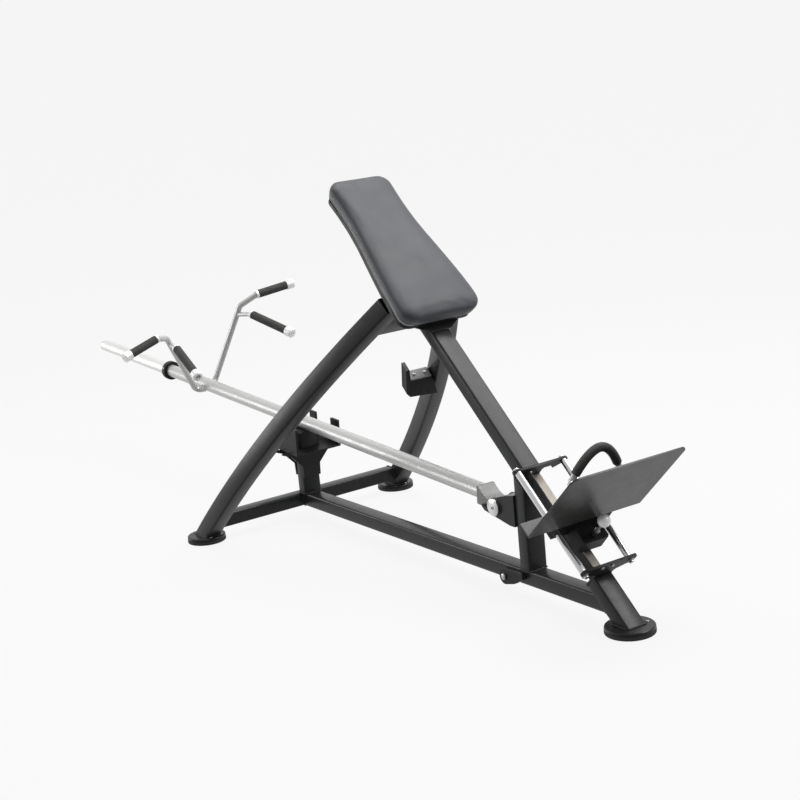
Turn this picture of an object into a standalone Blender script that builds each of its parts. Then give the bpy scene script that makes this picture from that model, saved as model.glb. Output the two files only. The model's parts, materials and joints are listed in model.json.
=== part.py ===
"""Plate-loaded incline row machine.

Frame of reference: metres, +Z up, floor at z = 0, +Y the way the user faces
(towards the plate sleeve), +X the user's right.  The frame is symmetrical
about x = 0.  The dimensions below measure y from the front feet; the last
lines move the whole machine so that its origin lies under the rear foot.
"""
import math
import bpy
import bmesh
from mathutils import Vector, Matrix

# ---------------------------------------------------------------- dimensions
GAP = 0.0003                      # clearance between touching pieces
WALL = 0.003                      # tube wall

# floor contact
FOOT_HALF = 0.398                 # front feet, centre to centre / 2
FOOT_Y = 0.008
FOOT_R = 0.066                    # front foot disc radius
REAR_R = 0.072                    # rear foot disc radius
RUBBER_T = 0.012                  # rubber pad thickness
DISC_T = 0.010                    # steel disc thickness
REAR_Y = -1.702                   # rear foot centre

# spine: inclined tube, measured along its upper face from the floor line
SPINE_DEG = 42.9
SPINE_Y0 = -1.757                 # where the upper face would meet the floor
SPINE_W, SPINE_H = 0.067, 0.045
APEX_M, APEX_H, APEX_D = 1.096, 0.074, 0.050   # arch cross tube: lower edge up the arch, height, depth
TUBE_S = 0.593                    # start of the upper tube

# low frame
BASE_TOP, CROSS_TOP = 0.091, 0.091
BASE_W, BASE_H = 0.057, 0.047
CROSS_D, CROSS_H = 0.048, 0.047
CROSS_Y = -0.021

# arch legs: inclined plane, inward curve
LEG_LEAN = 45.5                   # lean of the arch plane from the vertical
LEG_Y = 0.027
LEG_W, LEG_D = 0.055, 0.062
LEG_A, LEG_B = 0.05, 0.155        # half spacing = FOOT_HALF - A m - B m^2
LEG_END = 1.150

# upright and cradle post
UP_Y, UP_W, UP_D = -1.298, 0.067, 0.046
POST_Y, POST_W, POST_D = -0.0476, 0.067, 0.044

# row bar
PIVOT_Y, PIVOT_Z = -1.184, 0.264
BAR_DEG = 3.47
BAR_U0 = 0.0149                   # bar axis above the pivot axis
BAR_R = 0.0242
BAR_START = 0.098                 # along the bar from the pivot
COLLAR_AT = 2.150
COLLAR_R, COLLAR_T = 0.037, 0.022
SLEEVE_R = 0.024
SLEEVE_END = 2.768
ROLL_DEG = 12.2                   # left side down at rest

# handles, bar frame: outward, along, up
ARM_R = 0.0110
GRIP_R = 0.0155
CAP_R = 0.0185

# foot carriage
ROD_X, ROD_N, ROD_R = 0.083, 0.035, 0.010
PLATE_LO, PLATE_HI = 0.216, 0.565  # faces of the rod end plates, along the spine
END_T = 0.008                      # end plate thickness
BEAM_W, STRIP_T = 0.026, 0.003     # index beam between the end plates
PLUNGER_S = 0.303                  # plunger axis, along the spine
HOLES, HOLE_BELOW, HOLE_STEP = 7, 0, 0.025   # index holes, how many lie below the plunger
PLATE_S = 0.350                    # foot plate, along the spine
PLATE_HALF = 0.2038
PLATE_N0, PLATE_H = 0.067, 0.287   # lower edge above the spine, height of the plate
PLATE_LEAN = 3.2                   # lean of the foot plate towards the floor side

# chest pad
PAD_S0, PAD_S1 = 1.137, 1.709
PAD_BASE_N, PAD_EDGE_N, PAD_CROWN_N = 0.0179, 0.064, 0.074
BOARD_T, HEAD_T = 0.012, 0.005    # pad board, head plate

# ---------------------------------------------------------------- clean start
for o in list(bpy.data.objects):
    bpy.data.objects.remove(o, do_unlink=True)

COL = bpy.context.scene.collection
TH = math.radians(SPINE_DEG)
SU = Vector((0, math.cos(TH), math.sin(TH)))       # along the spine, upwards
SN = Vector((0, -math.sin(TH), math.cos(TH)))      # out of its upper face
SX = Vector((1, 0, 0))


def sp(s, n, x=0.0):
    """Point in spine coordinates: along, above the upper face, sideways."""
    return Vector((x, SPINE_Y0, 0)) + SU * s + SN * n


# ---------------------------------------------------------------- materials
def material(name, rgb, rough, metal=0.0):
    m = bpy.data.materials.new(name)
    m.use_nodes = True
    b = m.node_tree.nodes["Principled BSDF"]
    b.inputs["Base Color"].default_value = (*rgb, 1)
    b.inputs["Roughness"].default_value = rough
    b.inputs["Metallic"].default_value = metal
    m.diffuse_color = (*rgb, 1)
    return m


KIND = {
    "frame": ((0.062, 0.063, 0.066), 0.45, 0.3),
    "black": ((0.020, 0.020, 0.021), 0.5, 0.2),
    "silver": ((0.52, 0.52, 0.51), 0.32, 0.8),
    "sleeve": ((0.78, 0.78, 0.76), 0.3, 0.8),
    "chrome": ((0.82, 0.83, 0.84), 0.12, 1.0),
    "alu": ((0.80, 0.80, 0.79), 0.25, 0.9),
    "bare": ((0.55, 0.52, 0.48), 0.4, 0.7),
    "rubber": ((0.018, 0.018, 0.018), 0.85, 0.0),
    "grip": ((0.035, 0.036, 0.034), 0.8, 0.0),
    "vinyl": ((0.11, 0.115, 0.12), 0.5, 0.0),
    "ply": ((0.30, 0.22, 0.13), 0.7, 0.0),
    "bronze": ((0.35, 0.24, 0.12), 0.4, 0.8),
    "steel": ((0.42, 0.43, 0.44), 0.35, 0.9),
}


# ---------------------------------------------------------------- builders
def add(name, bm, kind, origin=None, smooth=False, sharp=35):
    """Turn a bmesh into a named object with its own material."""
    bmesh.ops.remove_doubles(bm, verts=bm.verts, dist=1e-6)
    bmesh.ops.recalc_face_normals(bm, faces=bm.faces)
    if bm.calc_volume(signed=True) < 0:
        bmesh.ops.reverse_faces(bm, faces=bm.faces)
    if origin is not None:
        bmesh.ops.translate(bm, verts=bm.verts, vec=-Vector(origin))
    if smooth:
        for f in bm.faces:
            f.smooth = True
        lim = math.radians(sharp)
        for e in bm.edges:
            if len(e.link_faces) == 2 and e.calc_face_angle(0.0) > lim:
                e.smooth = False
    me = bpy.data.meshes.new(name)
    bm.to_mesh(me)
    bm.free()
    ob = bpy.data.objects.new(name, me)
    if origin is not None:
        ob.location = Vector(origin)
    rgb, rough, metal = KIND[kind]
    me.materials.append(material(name + "_mat", rgb, rough, metal))
    COL.objects.link(ob)
    return ob


def rrect(w, h, r, seg=3):
    """Rounded rectangle, counter-clockwise 2-D points."""
    pts = []
    for cx, cy, a0 in ((w / 2 - r, h / 2 - r, 0), (-w / 2 + r, h / 2 - r, 90),
                       (-w / 2 + r, -h / 2 + r, 180), (w / 2 - r, -h / 2 + r, 270)):
        for i in range(seg + 1):
            a = math.radians(a0 + 90 * i / seg)
            pts.append((cx + r * math.cos(a), cy + r * math.sin(a)))
    return pts


def ring2(r, seg):
    return [(r * math.cos(2 * math.pi * i / seg), r * math.sin(2 * math.pi * i / seg)) for i in range(seg)]


def skin(bm, loops, closed_ends=True, flip=False):
    """Join successive vertex loops with quads; cap the ends if asked."""
    vs = [[bm.verts.new(p) for p in lp] for lp in loops]
    n = len(vs[0])
    for a, b in zip(vs, vs[1:]):
        for i in range(n):
            q = (a[i], a[(i + 1) % n], b[(i + 1) % n], b[i])
            bm.faces.new(q[::-1] if flip else q)
    if closed_ends:
        bm.faces.new(vs[0][::-1])
        bm.faces.new(vs[-1])
    return vs


def hollow(bm, outer, inner):
    """A tube: outer and inner skins joined by ring faces at both ends."""
    vo = skin(bm, outer, False)
    vi = skin(bm, inner, False, True)
    n = len(vo[0])
    for e in (0, -1):
        for i in range(n):
            j = (i + 1) % n
            bm.faces.new((vo[e][i], vo[e][j], vi[e][j], vi[e][i]))


def on_plane(p, d, pt, nrm):
    """Slide p along d until it lies in the plane (pt, nrm)."""
    t = (Vector(pt) - p).dot(nrm) / d.dot(nrm)
    return p + d * t


def straight_tube(name, a, b, ax, ay, w, h, kind, r=0.006, cut_a=None, cut_b=None, wall=WALL):
    """Rounded box tube from a to b with optional mitred ends (point, normal)."""
    a, b = Vector(a), Vector(b)
    d = (b - a).normalized()
    cut_a = cut_a or (a, d)
    cut_b = cut_b or (b, d)
    bm = bmesh.new()
    loops = []
    for prof in (rrect(w, h, r), rrect(w - 2 * wall, h - 2 * wall, max(r - wall, 0.002))):
        base = [a + ax * p[0] + ay * p[1] for p in prof]
        loops.append([[on_plane(p, d, *cut_a) for p in base], [on_plane(p, d, *cut_b) for p in base]])
    hollow(bm, loops[0], loops[1])
    return add(name, bm, kind, smooth=True, sharp=40)


def block(bm, c, hx, hy, hz, ax=None, ay=None, az=None):
    """Box with half sizes along three axes."""
    c = Vector(c)
    ax, ay, az = ax or Vector((1, 0, 0)), ay or Vector((0, 1, 0)), az or Vector((0, 0, 1))
    vs = [c + ax * hx * i + ay * hy * j + az * hz * k for k in (-1, 1) for j in (-1, 1) for i in (-1, 1)]
    v = [bm.verts.new(p) for p in vs]
    for f in ((0, 2, 3, 1), (4, 5, 7, 6), (0, 1, 5, 4), (1, 3, 7, 5), (3, 2, 6, 7), (2, 0, 4, 6)):
        bm.faces.new([v[i] for i in f])


def prism(bm, pts, d, t):
    """Extrude a planar outline (3-D points) by t along d."""
    d = Vector(d)
    skin(bm, [[Vector(p) for p in pts], [Vector(p) + d * t for p in pts]])


def revolve(bm, origin, axis, profile, seg=28, ref=None):
    """Solid of revolution: profile of (along, radius); radius 0 closes to a point."""
    origin, axis = Vector(origin), Vector(axis).normalized()
    ref = Vector(ref) if ref else (Vector((0, 0, 1)) if abs(axis.z) < 0.9 else Vector((1, 0, 0)))
    e1 = (ref - axis * ref.dot(axis)).normalized()
    e2 = axis.cross(e1)
    rings = []
    for h, r in profile:
        rings.append([origin + axis * h + (e1 * c + e2 * s) * r for c, s in ring2(1.0, seg)] if r > 1e-9 else origin + axis * h)
    prev = None
    for rg in rings:
        cur = bm.verts.new(rg) if isinstance(rg, Vector) else [bm.verts.new(p) for p in rg]
        if prev is not None:
            if isinstance(prev, list) and isinstance(cur, list):
                for i in range(seg):
                    bm.faces.new((prev[i], prev[(i + 1) % seg], cur[(i + 1) % seg], cur[i]))
            elif isinstance(cur, list):
                for i in range(seg):
                    bm.faces.new((prev, cur[(i + 1) % seg], cur[i]))
            else:
                for i in range(seg):
                    bm.faces.new((prev[i], prev[(i + 1) % seg], cur))
        else:
            first = cur
        prev = cur
    if isinstance(first, list):
        bm.faces.new(first[::-1])
    if isinstance(prev, list):
        bm.faces.new(prev)


def pipe(bm, origin, axis, h0, h1, ro, ri, seg=28):
    """Open round tube."""
    origin, axis = Vector(origin), Vector(axis).normalized()
    ref = Vector((0, 0, 1)) if abs(axis.z) < 0.9 else Vector((1, 0, 0))
    e1 = (ref - axis * ref.dot(axis)).normalized()
    e2 = axis.cross(e1)
    mk = lambda h, r: [origin + axis * h + (e1 * c + e2 * s) * r for c, s in ring2(1.0, seg)]
    hollow(bm, [mk(h0, ro), mk(h1, ro)], [mk(h0, ri), mk(h1, ri)])


def fillet_path(pts, radii, seg=5):
    """Poly-line with its inner corners rounded by arcs."""
    pts = [Vector(p) for p in pts]
    out = [pts[0]]
    for i in range(1, len(pts) - 1):
        p, a, b = pts[i], (pts[i - 1] - pts[i]).normalized(), (pts[i + 1] - pts[i]).normalized()
        r = radii[i - 1]
        ang = a.angle(b)
        t = r / math.tan(ang / 2)
        p0, p1 = p + a * t, p + b * t
        c = p + (a + b).normalized() * (r / math.sin(ang / 2))
        v0, v1 = p0 - c, p1 - c
        tot = v0.angle(v1)
        ax = v0.cross(v1).normalized()
        for k in range(seg + 1):
            out.append(c + Matrix.Rotation(tot * k / seg, 3, ax) @ v0)
    out.append(pts[-1])
    return out


def bent_rod(bm, path, r, seg=16, cap_planes=(None, None)):
    """Round bar swept along a path without twist."""
    n = len(path)
    tang = []
    for i in range(n):
        if i == 0:
            t = path[1] - path[0]
        elif i == n - 1:
            t = path[-1] - path[-2]
        else:
            t = (path[i + 1] - path[i]).normalized() + (path[i] - path[i - 1]).normalized()
        tang.append(t.normalized())
    ref = Vector((0, 0, 1)) if abs(tang[0].z) < 0.9 else Vector((1, 0, 0))
    e1 = (ref - tang[0] * ref.dot(tang[0])).normalized()
    loops = []
    for i in range(n):
        if i:
            q = tang[i - 1].rotation_difference(tang[i])
            e1 = q @ e1
            e1 = (e1 - tang[i] * e1.dot(tang[i])).normalized()
        e2 = tang[i].cross(e1)
        loops.append([path[i] + e1 * (r * math.cos(2 * math.pi * k / seg)) + e2 * (r * math.sin(2 * math.pi * k / seg)) for k in range(seg)])
    for end, pl in ((0, cap_planes[0]), (-1, cap_planes[1])):
        if pl:
            d = tang[end]
            loops[end] = [on_plane(p, d, *pl) for p in loops[end]]
    skin(bm, loops)


def cutter(name, fn):
    bm = bmesh.new()
    fn(bm)
    ob = add(name, bm, "black")
    ob.hide_render = True
    ob.display_type = 'WIRE'
    return ob


def cut(ob, tool):
    m = ob.modifiers.new("cut_" + tool.name, 'BOOLEAN')
    m.operation = 'DIFFERENCE'
    m.solver = 'EXACT'
    m.object = tool


# ---------------------------------------------------------------- feet
TOP_OF_FOOT = RUBBER_T + GAP + DISC_T
for tag, fx, fy, fr in (("front_left", -FOOT_HALF, FOOT_Y, FOOT_R), ("front_right", FOOT_HALF, FOOT_Y, FOOT_R),
                        ("rear", 0.0, REAR_Y, REAR_R)):
    bm = bmesh.new()
    revolve(bm, (fx, fy, 0), (0, 0, 1), [(0, fr - 0.001), (0.002, fr), (RUBBER_T, fr)], 36)
    add(tag + "_foot_rubber", bm, "rubber", smooth=True)
    bm = bmesh.new()
    revolve(bm, (fx, fy, RUBBER_T + GAP), (0, 0, 1), [(0, fr - 0.0005), (DISC_T - 0.003, fr - 0.0005), (DISC_T, fr - 0.0035)], 36)
    add(tag + "_foot_disc", bm, "frame", smooth=True)
Z0 = TOP_OF_FOOT + GAP

# ---------------------------------------------------------------- arch legs
LN = math.radians(LEG_LEAN)
LV = Vector((0, -math.sin(LN), math.cos(LN)))      # up along the arch plane
LF = Vector((0, math.cos(LN), math.sin(LN)))       # front normal of the arch plane
LEG_N = 18


def leg_axis(m, side):
    return Vector((side * (FOOT_HALF - LEG_A * m - LEG_B * m * m), LEG_Y, 0)) + LV * m


def leg_tangent(m, side):
    return (SX * (side * (-LEG_A - 2 * LEG_B * m)) + LV).normalized()


for tag, side in (("left", -1), ("right", 1)):
    bm = bmesh.new()
    skins = []
    for inset in (0.0, WALL):
        prof = rrect(LEG_W - 2 * inset, LEG_D - 2 * inset, 0.007 - inset)
        loops = []
        for i in range(LEG_N + 1):
            m = 0.02 + (LEG_END - 0.02) * i / LEG_N
            c, t = leg_axis(m, side), leg_tangent(m, side)
            e = LF.cross(t).normalized()
            lp = [c + e * p[0] + LF * p[1] for p in prof]
            if i == 0:
                lp = [on_plane(p, t, Vector((0, 0, Z0)), Vector((0, 0, 1))) for p in lp]
            if i == LEG_N:
                lp = [on_plane(p, t, sp(0, 0.0), SN) for p in lp]
            loops.append(lp)
        skins.append(loops)
    hollow(bm, skins[0], skins[1])
    add(tag + "_leg", bm, "frame", smooth=True, sharp=40)

# ---------------------------------------------------------------- spine
spine_c = sp(0, -SPINE_H / 2)
straight_tube("spine_lower_tube", spine_c + SU * 0.05, sp(PLATE_LO - END_T - GAP, -SPINE_H / 2), SX, SN, SPINE_W, SPINE_H, "frame",
              cut_a=(Vector((0, 0, Z0)), Vector((0, 0, 1))))
arch0 = Vector((0, LEG_Y, 0))
straight_tube("spine_upper_tube", sp(TUBE_S, -SPINE_H / 2), sp(1.2, -SPINE_H / 2), SX, SN, SPINE_W, SPINE_H, "frame",
              cut_b=(arch0 - LF * (APEX_D / 2 + GAP), LF))
bm = bmesh.new()
lp_o, lp_i = [], []
apex_c = arch0 + LV * (APEX_M + APEX_H / 2)
for side in (-1, 1):
    m = APEX_M + APEX_H / 2
    c, t = leg_axis(m, side), leg_tangent(m, side)
    e = LF.cross(t).normalized()
    if e.x * side < 0:
        e = -e
    pl = (c - e * (LEG_W / 2 + 3 * GAP), e)
    for dst, w, h, r in ((lp_o, APEX_H, APEX_D, 0.006), (lp_i, APEX_H - 2 * WALL, APEX_D - 2 * WALL, 0.003)):
        dst.append([on_plane(apex_c + LV * p[0] + LF * p[1], SX, *pl) for p in rrect(w, h, r)])
hollow(bm, lp_o, lp_i)
add("arch_cross_tube", bm, "frame", smooth=True, sharp=40)

# ---------------------------------------------------------------- low frame
cross_zc = CROSS_TOP - CROSS_H / 2


def leg_side(z, y, side):
    """Leg centre line and its direction beside a point at height z, depth y."""
    m = z * math.cos(LN) + (LEG_Y - y) * math.sin(LN)
    return leg_axis(m, side), leg_tangent(m, side)


bm = bmesh.new()
lp_o, lp_i = [], []
for side in (-1, 1):
    c, t = leg_side(cross_zc, CROSS_Y, side)
    e = (LF.cross(t)).normalized()
    if e.x * side < 0:
        e = -e
    pl = (c - e * (LEG_W / 2 + 3 * GAP), e)
    for dst, w, h, r in ((lp_o, CROSS_D, CROSS_H, 0.006), (lp_i, CROSS_D - 2 * WALL, CROSS_H - 2 * WALL, 0.003)):
        dst.append([on_plane(Vector((0, CROSS_Y + p[0], cross_zc + p[1])), SX, *pl) for p in rrect(w, h, r)])
hollow(bm, lp_o, lp_i)
add("cross_tube", bm, "frame", smooth=True, sharp=40)

base_zc = BASE_TOP - BASE_H / 2
straight_tube("base_tube", Vector((0, CROSS_Y - CROSS_D / 2 - GAP, base_zc)), Vector((0, -1.5, base_zc)), SX, Vector((0, 0, 1)),
              BASE_W, BASE_H, "frame", cut_b=(sp(0, -SPINE_H - GAP), SN))

straight_tube("upright_tube", Vector((0, UP_Y, BASE_TOP + GAP)), Vector((0, UP_Y, 0.4)), SX, Vector((0, 1, 0)),
              UP_W, UP_D, "frame", cut_b=(sp(0, -SPINE_H - GAP), SN))

# ---------------------------------------------------------------- head plate under the pad
bm = bmesh.new()
head = [(0.036, 1.118), (0.100, 1.160), (0.112, 1.190), (0.112, 1.330), (0.070, 1.370)]
prism(bm, [sp(t, GAP, x) for x, t in head] + [sp(t, GAP, -x) for x, t in reversed(head)], SN, HEAD_T)
add("head_plate", bm, "frame")

# ---------------------------------------------------------------- chest pad
PAD_PROFILE = ((0.000, 0.1400), (0.06, 0.1425), (0.13, 0.138), (0.20, 0.1305), (0.27, 0.1215), (0.34, 0.1125),
               (0.41, 0.1075), (0.48, 0.1075), (0.572, 0.1105))


def pad_half(t):
    for (a, wa), (b, wb) in zip(PAD_PROFILE, PAD_PROFILE[1:]):
        if t <= b:
            return wa + (wb - wa) * (t - a) / (b - a)
    return PAD_PROFILE[-1][1]


def pad_outline(shrink, rc=0.042, seg=5):
    """Outline of the pad in (x, along) with rounded corners."""
    L = PAD_S1 - PAD_S0
    right = []
    for i in range(seg + 1):
        a = math.radians(-90 + 90 * i / seg)
        w = pad_half(0.03)
        right.append((w - rc + rc * math.cos(a), rc + rc * math.sin(a)))
    for t, w in PAD_PROFILE[1:-1]:
        if rc < t < L - rc:
            right.append((w, t))
    for i in range(seg + 1):
        a = math.radians(90 * i / seg)
        w = pad_half(L)
        right.append((w - rc + rc * math.cos(a), L - rc + rc * math.sin(a)))
    pts = [(x, t) for x, t in right] + [(-x, t) for x, t in reversed(right)]
    out = []
    n = len(pts)
    for i in range(n):
        a, b = Vector(pts[i - 1]), Vector(pts[(i + 1) % n])
        d = (b - a)
        nr = Vector((d.y, -d.x)).normalized()
        out.append(Vector(pts[i]) - nr * shrink)
    return out


def pad_loop(shrink, n):
    return [sp(PAD_S0 + p.y, n, p.x) for p in pad_outline(shrink)]


bm = bmesh.new()
skin(bm, [pad_loop(0.008, PAD_BASE_N - GAP - BOARD_T), pad_loop(0.008, PAD_BASE_N - GAP)])
add("pad_board", bm, "ply")
bm = bmesh.new()
skin(bm, [pad_loop(0.004, PAD_BASE_N), pad_loop(0.0, PAD_BASE_N + 0.008), pad_loop(0.0, PAD_EDGE_N - 0.010),
          pad_loop(0.006, PAD_EDGE_N), pad_loop(0.030, PAD_CROWN_N - 0.003), pad_loop(0.060, PAD_CROWN_N)])
add("chest_pad", bm, "vinyl", smooth=True)

# ---------------------------------------------------------------- cradle
BARV = Vector((0, math.cos(math.radians(BAR_DEG)), math.sin(math.radians(BAR_DEG))))   # along the bar
BN = Vector((0, -BARV.z, BARV.y))                                                      # up, square to the bar
PIV = Vector((0, PIVOT_Y, PIVOT_Z))
BAX = PIV + BN * BAR_U0                                                                # bar axis above the pivot
CR_A = (POST_Y - PIVOT_Y) / BARV.y                # the post, along the bar
TRAY_U, TRAY_T = -0.084, 0.005                    # top of the tray floor below the bar axis
TRAY_X = 0.090
EAR_U = 0.0055                                    # ear tops above the bar axis
GUSSET_T = 0.006


def bp(x, a, u):
    """Point in the bar frame: sideways, along from the pivot, up from the axis."""
    return PIV + SX * x + BARV * a + BN * (BAR_U0 + u)


tray_pt = bp(0, CR_A, TRAY_U - TRAY_T - GAP)
straight_tube("cradle_post", Vector((0, POST_Y, CROSS_TOP + GAP)), Vector((0, POST_Y, 0.4)), SX, Vector((0, 1, 0)),
              POST_W, POST_D, "frame", cut_b=(tray_pt, BN))
for tag, y0 in (("front", POST_Y + POST_D / 2 + GAP), ("rear", POST_Y - POST_D / 2 - GAP - GUSSET_T)):
    zt = tray_pt.z + (y0 + GUSSET_T / 2 - tray_pt.y) * BARV.z / BARV.y - 0.0006
    right = [(0.034, zt - 0.104), (0.036, zt - 0.062), (0.078, zt - 0.018), (0.112, zt - 0.005), (0.112, zt)]
    pts = right + [(-x, z) for x, z in reversed(right)]
    bm = bmesh.new()
    prism(bm, [Vector((x, y0, z)) for x, z in pts], (0, 1, 0), GUSSET_T)
    add("cradle_gusset_" + tag, bm, "frame")
# tray: bent plate, one solid wall and one wall parted into two ears
bm = bmesh.new()
wall = [(-TRAY_X, EAR_U - TRAY_U), (-TRAY_X, -TRAY_T), (TRAY_X, -TRAY_T), (TRAY_X, EAR_U - TRAY_U), (TRAY_X - 0.008, EAR_U - TRAY_U),
        (TRAY_X - 0.008, 0.0), (-TRAY_X + 0.008, 0.0), (-TRAY_X + 0.008, EAR_U - TRAY_U)]
prism(bm, [bp(x, CR_A - 0.097, TRAY_U + u) for x, u in wall], BARV, 0.186)
tray = add("cradle_tray", bm, "black")
cut(tray, cutter("tool_tray_gap", lambda b: block(b, bp(0.2, CR_A, 0.0), 0.2, 0.050, 0.050, SX, BARV, BN)))
cut(tray, cutter("tool_tray_corner", lambda b: block(b, bp(-TRAY_X, CR_A + 0.080, 0.0), 0.020, 0.024, 0.070, SX, BARV, BN)))
# saddle: rubber bumper with a flat top just under the bar
SADDLE_TOP = -BAR_R - 0.0008
bm = bmesh.new()
prof = [(-0.036, TRAY_U + GAP), (0.036, TRAY_U + GAP), (0.036, SADDLE_TOP - 0.006), (0.030, SADDLE_TOP), (-0.030, SADDLE_TOP), (-0.036, SADDLE_TOP - 0.006)]
prism(bm, [bp(x, CR_A - 0.040, u) for x, u in prof], BARV, 0.080)
add("cradle_saddle", bm, "rubber")

# ---------------------------------------------------------------- pivot bracket
CHEEK_IN, CHEEK_T = 0.0325, 0.006
yb = UP_Y + UP_D / 2 + GAP
bm = bmesh.new()
c0, c1 = CHEEK_IN, CHEEK_IN + CHEEK_T
back = -1.2185
u_plan = [(-c1, yb), (c1, yb), (c1, 1.0), (c0, 1.0), (c0, back), (-c0, back), (-c0, 1.0), (-c1, 1.0)]
tall = [[Vector((x, min(y, PIVOT_Y + 0.08), z)) for x, y in u_plan] for z in (0.210, 0.335)]
skin(bm, tall)
clevis = add("pivot_clevis", bm, "frame")


def clevis_trim(bm):
    outline = [(UP_Y, 0.200), (UP_Y, 0.220), (-1.251, 0.220), (-1.133, 0.244), (-1.120, 0.254), (-1.122, 0.262)]
    for i in range(7):
        a = math.radians(-22 + 120 * i / 6)
        outline.append((PIVOT_Y + 0.0285 * math.cos(a), PIVOT_Z + 0.0285 * math.sin(a)))
    outline += [(-1.215, 0.302), (-1.240, 0.309), (UP_Y, 0.320), (UP_Y, 0.345), (-1.05, 0.345), (-1.05, 0.200)]
    prism(bm, [Vector((-0.06, y, z)) for y, z in outline], SX, 0.12)


cut(clevis, cutter("tool_clevis_trim", clevis_trim))
bm = bmesh.new()
roof = [(-1.2210, 0.2960), (-1.1905, 0.2890), (-1.1885, 0.2922), (-1.2150, 0.3020), (-1.2210, 0.3036)]
prism(bm, [Vector((-c0 - 0.001, y, z)) for y, z in roof], SX, 2 * c0 + 0.002)
tool = add("tool_clevis_roof", bm, "frame")
tool.hide_render = True
tool.display_type = 'WIRE'
m = clevis.modifiers.new("roof", 'BOOLEAN')
m.operation = 'UNION'
m.solver = 'EXACT'
m.object = tool
PIN_R = 0.009
cut(clevis, cutter("tool_clevis_bore", lambda b: revolve(b, PIV - SX * 0.07, SX, [(0, PIN_R + 0.0004), (0.14, PIN_R + 0.0004)], 28)))
bm = bmesh.new()
revolve(bm, PIV - SX * (c1 + 0.0095), SX, [(0, 0.0235), (0.0015, 0.0262), (0.0092, 0.0262), (0.0092, PIN_R), (2 * c1 + 0.0098, PIN_R), (2 * c1 + 0.0195, PIN_R)], 32)
add("pivot_pin", bm, "alu", smooth=True)
bm = bmesh.new()
pipe(bm, PIV + SX * (c1 + GAP), SX, 0, 0.009, 0.0262, PIN_R + GAP, 32)
add("pivot_pin_cap", bm, "alu", smooth=True)

# ---------------------------------------------------------------- upright foot ears
for tag, side in (("left", -1),):
    bm = bmesh.new()
    x0 = side * (BASE_W / 2 + GAP)
    yc, zc, r = -1.212, 0.057, 0.0245
    pts = [(yc + r * math.cos(math.radians(100 - 200 * i / 12)), zc + r * math.sin(math.radians(100 - 200 * i / 12))) for i in range(13)]
    pts += [(yc - 0.045, zc - 0.014), (yc - 0.085, zc + 0.008), (yc - 0.085, zc + 0.026)]
    prism(bm, [Vector((x0, y, z)) for y, z in pts], SX * side, 0.016)
    ear = add("frame_ear_" + tag, bm, "frame")
    cut(ear, cutter("tool_ear_" + tag, lambda b: revolve(b, Vector((x0 - side * 0.02, yc, zc)), SX * side, [(0, 0.0062), (0.06, 0.0062)], 20)))
    bm = bmesh.new()
    revolve(bm, Vector((x0 + side * 0.0001, yc, zc)), SX * side, [(0, 0.0058), (0.0163, 0.0058), (0.0163, 0.010), (0.021, 0.010), (0.0225, 0.008)], 20)
    add("frame_ear_bolt_" + tag, bm, "steel", smooth=True)

# ---------------------------------------------------------------- row bar
bm = bmesh.new()
BOSS_W = CHEEK_IN - 0.0008
revolve(bm, PIV - SX * BOSS_W, SX, [(0, 0.023), (2 * BOSS_W, 0.023)], 28)
boss = add("pivot_boss", bm, "silver", origin=PIV, smooth=True)
bm = bmesh.new()
revolve(bm, PIV - SX * 0.06, SX, [(0, PIN_R + 0.0004), (0.12, PIN_R + 0.0004)], 28)
tool = add("tool_boss_bore", bm, "black")
tool.hide_render = True
tool.display_type = 'WIRE'


def socket(bm):
    """Block from the pin to the bar end, scooped behind its upper horn; outline in (along, up)."""
    side = [(0.006, -0.0160), (0.030, -0.0185), (0.0955, -0.0150), (0.0955, 0.0405), (0.087, 0.0405)]
    side += [(0.081, 0.0340), (0.073, 0.0270), (0.062, 0.0190), (0.050, 0.0130), (0.036, 0.0095), (0.022, 0.0080), (0.006, 0.0080)]
    prism(bm, [PIV - SX * (BOSS_W - 0.001) + BARV * a + BN * u for a, u in side], SX, 2 * (BOSS_W - 0.001))


def neck(bm):
    revolve(bm, BAX + BARV * 0.080, BARV, [(0, 0.0188), (0.070, 0.0188)], 28)


for tag, fn in (("block", socket), ("neck", neck)):
    bm = bmesh.new()
    fn(bm)
    piece = add("tool_boss_" + tag, bm, "silver", smooth=tag == "neck")
    piece.hide_render = True
    piece.display_type = 'WIRE'
    m = boss.modifiers.new(tag, 'BOOLEAN')
    m.operation = 'UNION'
    m.solver = 'EXACT'
    m.object = piece
cut(boss, tool)

bm = bmesh.new()
pipe(bm, BAX, BARV, BAR_START - 0.0015, COLLAR_AT - COLLAR_T / 2 - GAP, BAR_R, BAR_R - 0.005, 32)
add("row_bar", bm, "silver", origin=BAX + BARV * BAR_START, smooth=True)
bm = bmesh.new()
pipe(bm, BAX, BARV, COLLAR_AT - COLLAR_T / 2, COLLAR_AT + COLLAR_T / 2, COLLAR_R, 0.0185, 32)
add("plate_stop_collar", bm, "black", origin=bp(0, COLLAR_AT, 0), smooth=True)
bm = bmesh.new()
pipe(bm, BAX, BARV, COLLAR_AT + COLLAR_T / 2 + GAP, SLEEVE_END, SLEEVE_R, SLEEVE_R - 0.004, 32)
add("weight_sleeve", bm, "sleeve", origin=bp(0, COLLAR_AT, 0), smooth=True)
bm = bmesh.new()
revolve(bm, BAX, BARV, [(SLEEVE_END - 0.02, SLEEVE_R - 0.0044), (SLEEVE_END + GAP, SLEEVE_R - 0.0044), (SLEEVE_END + GAP, SLEEVE_R), (SLEEVE_END + 0.003, SLEEVE_R), (SLEEVE_END + 0.006, SLEEVE_R - 0.003)], 32)
add("sleeve_end_plug", bm, "sleeve", origin=bp(0, SLEEVE_END, 0), smooth=True)

# ---------------------------------------------------------------- handles
RO = math.radians(ROLL_DEG)


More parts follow.
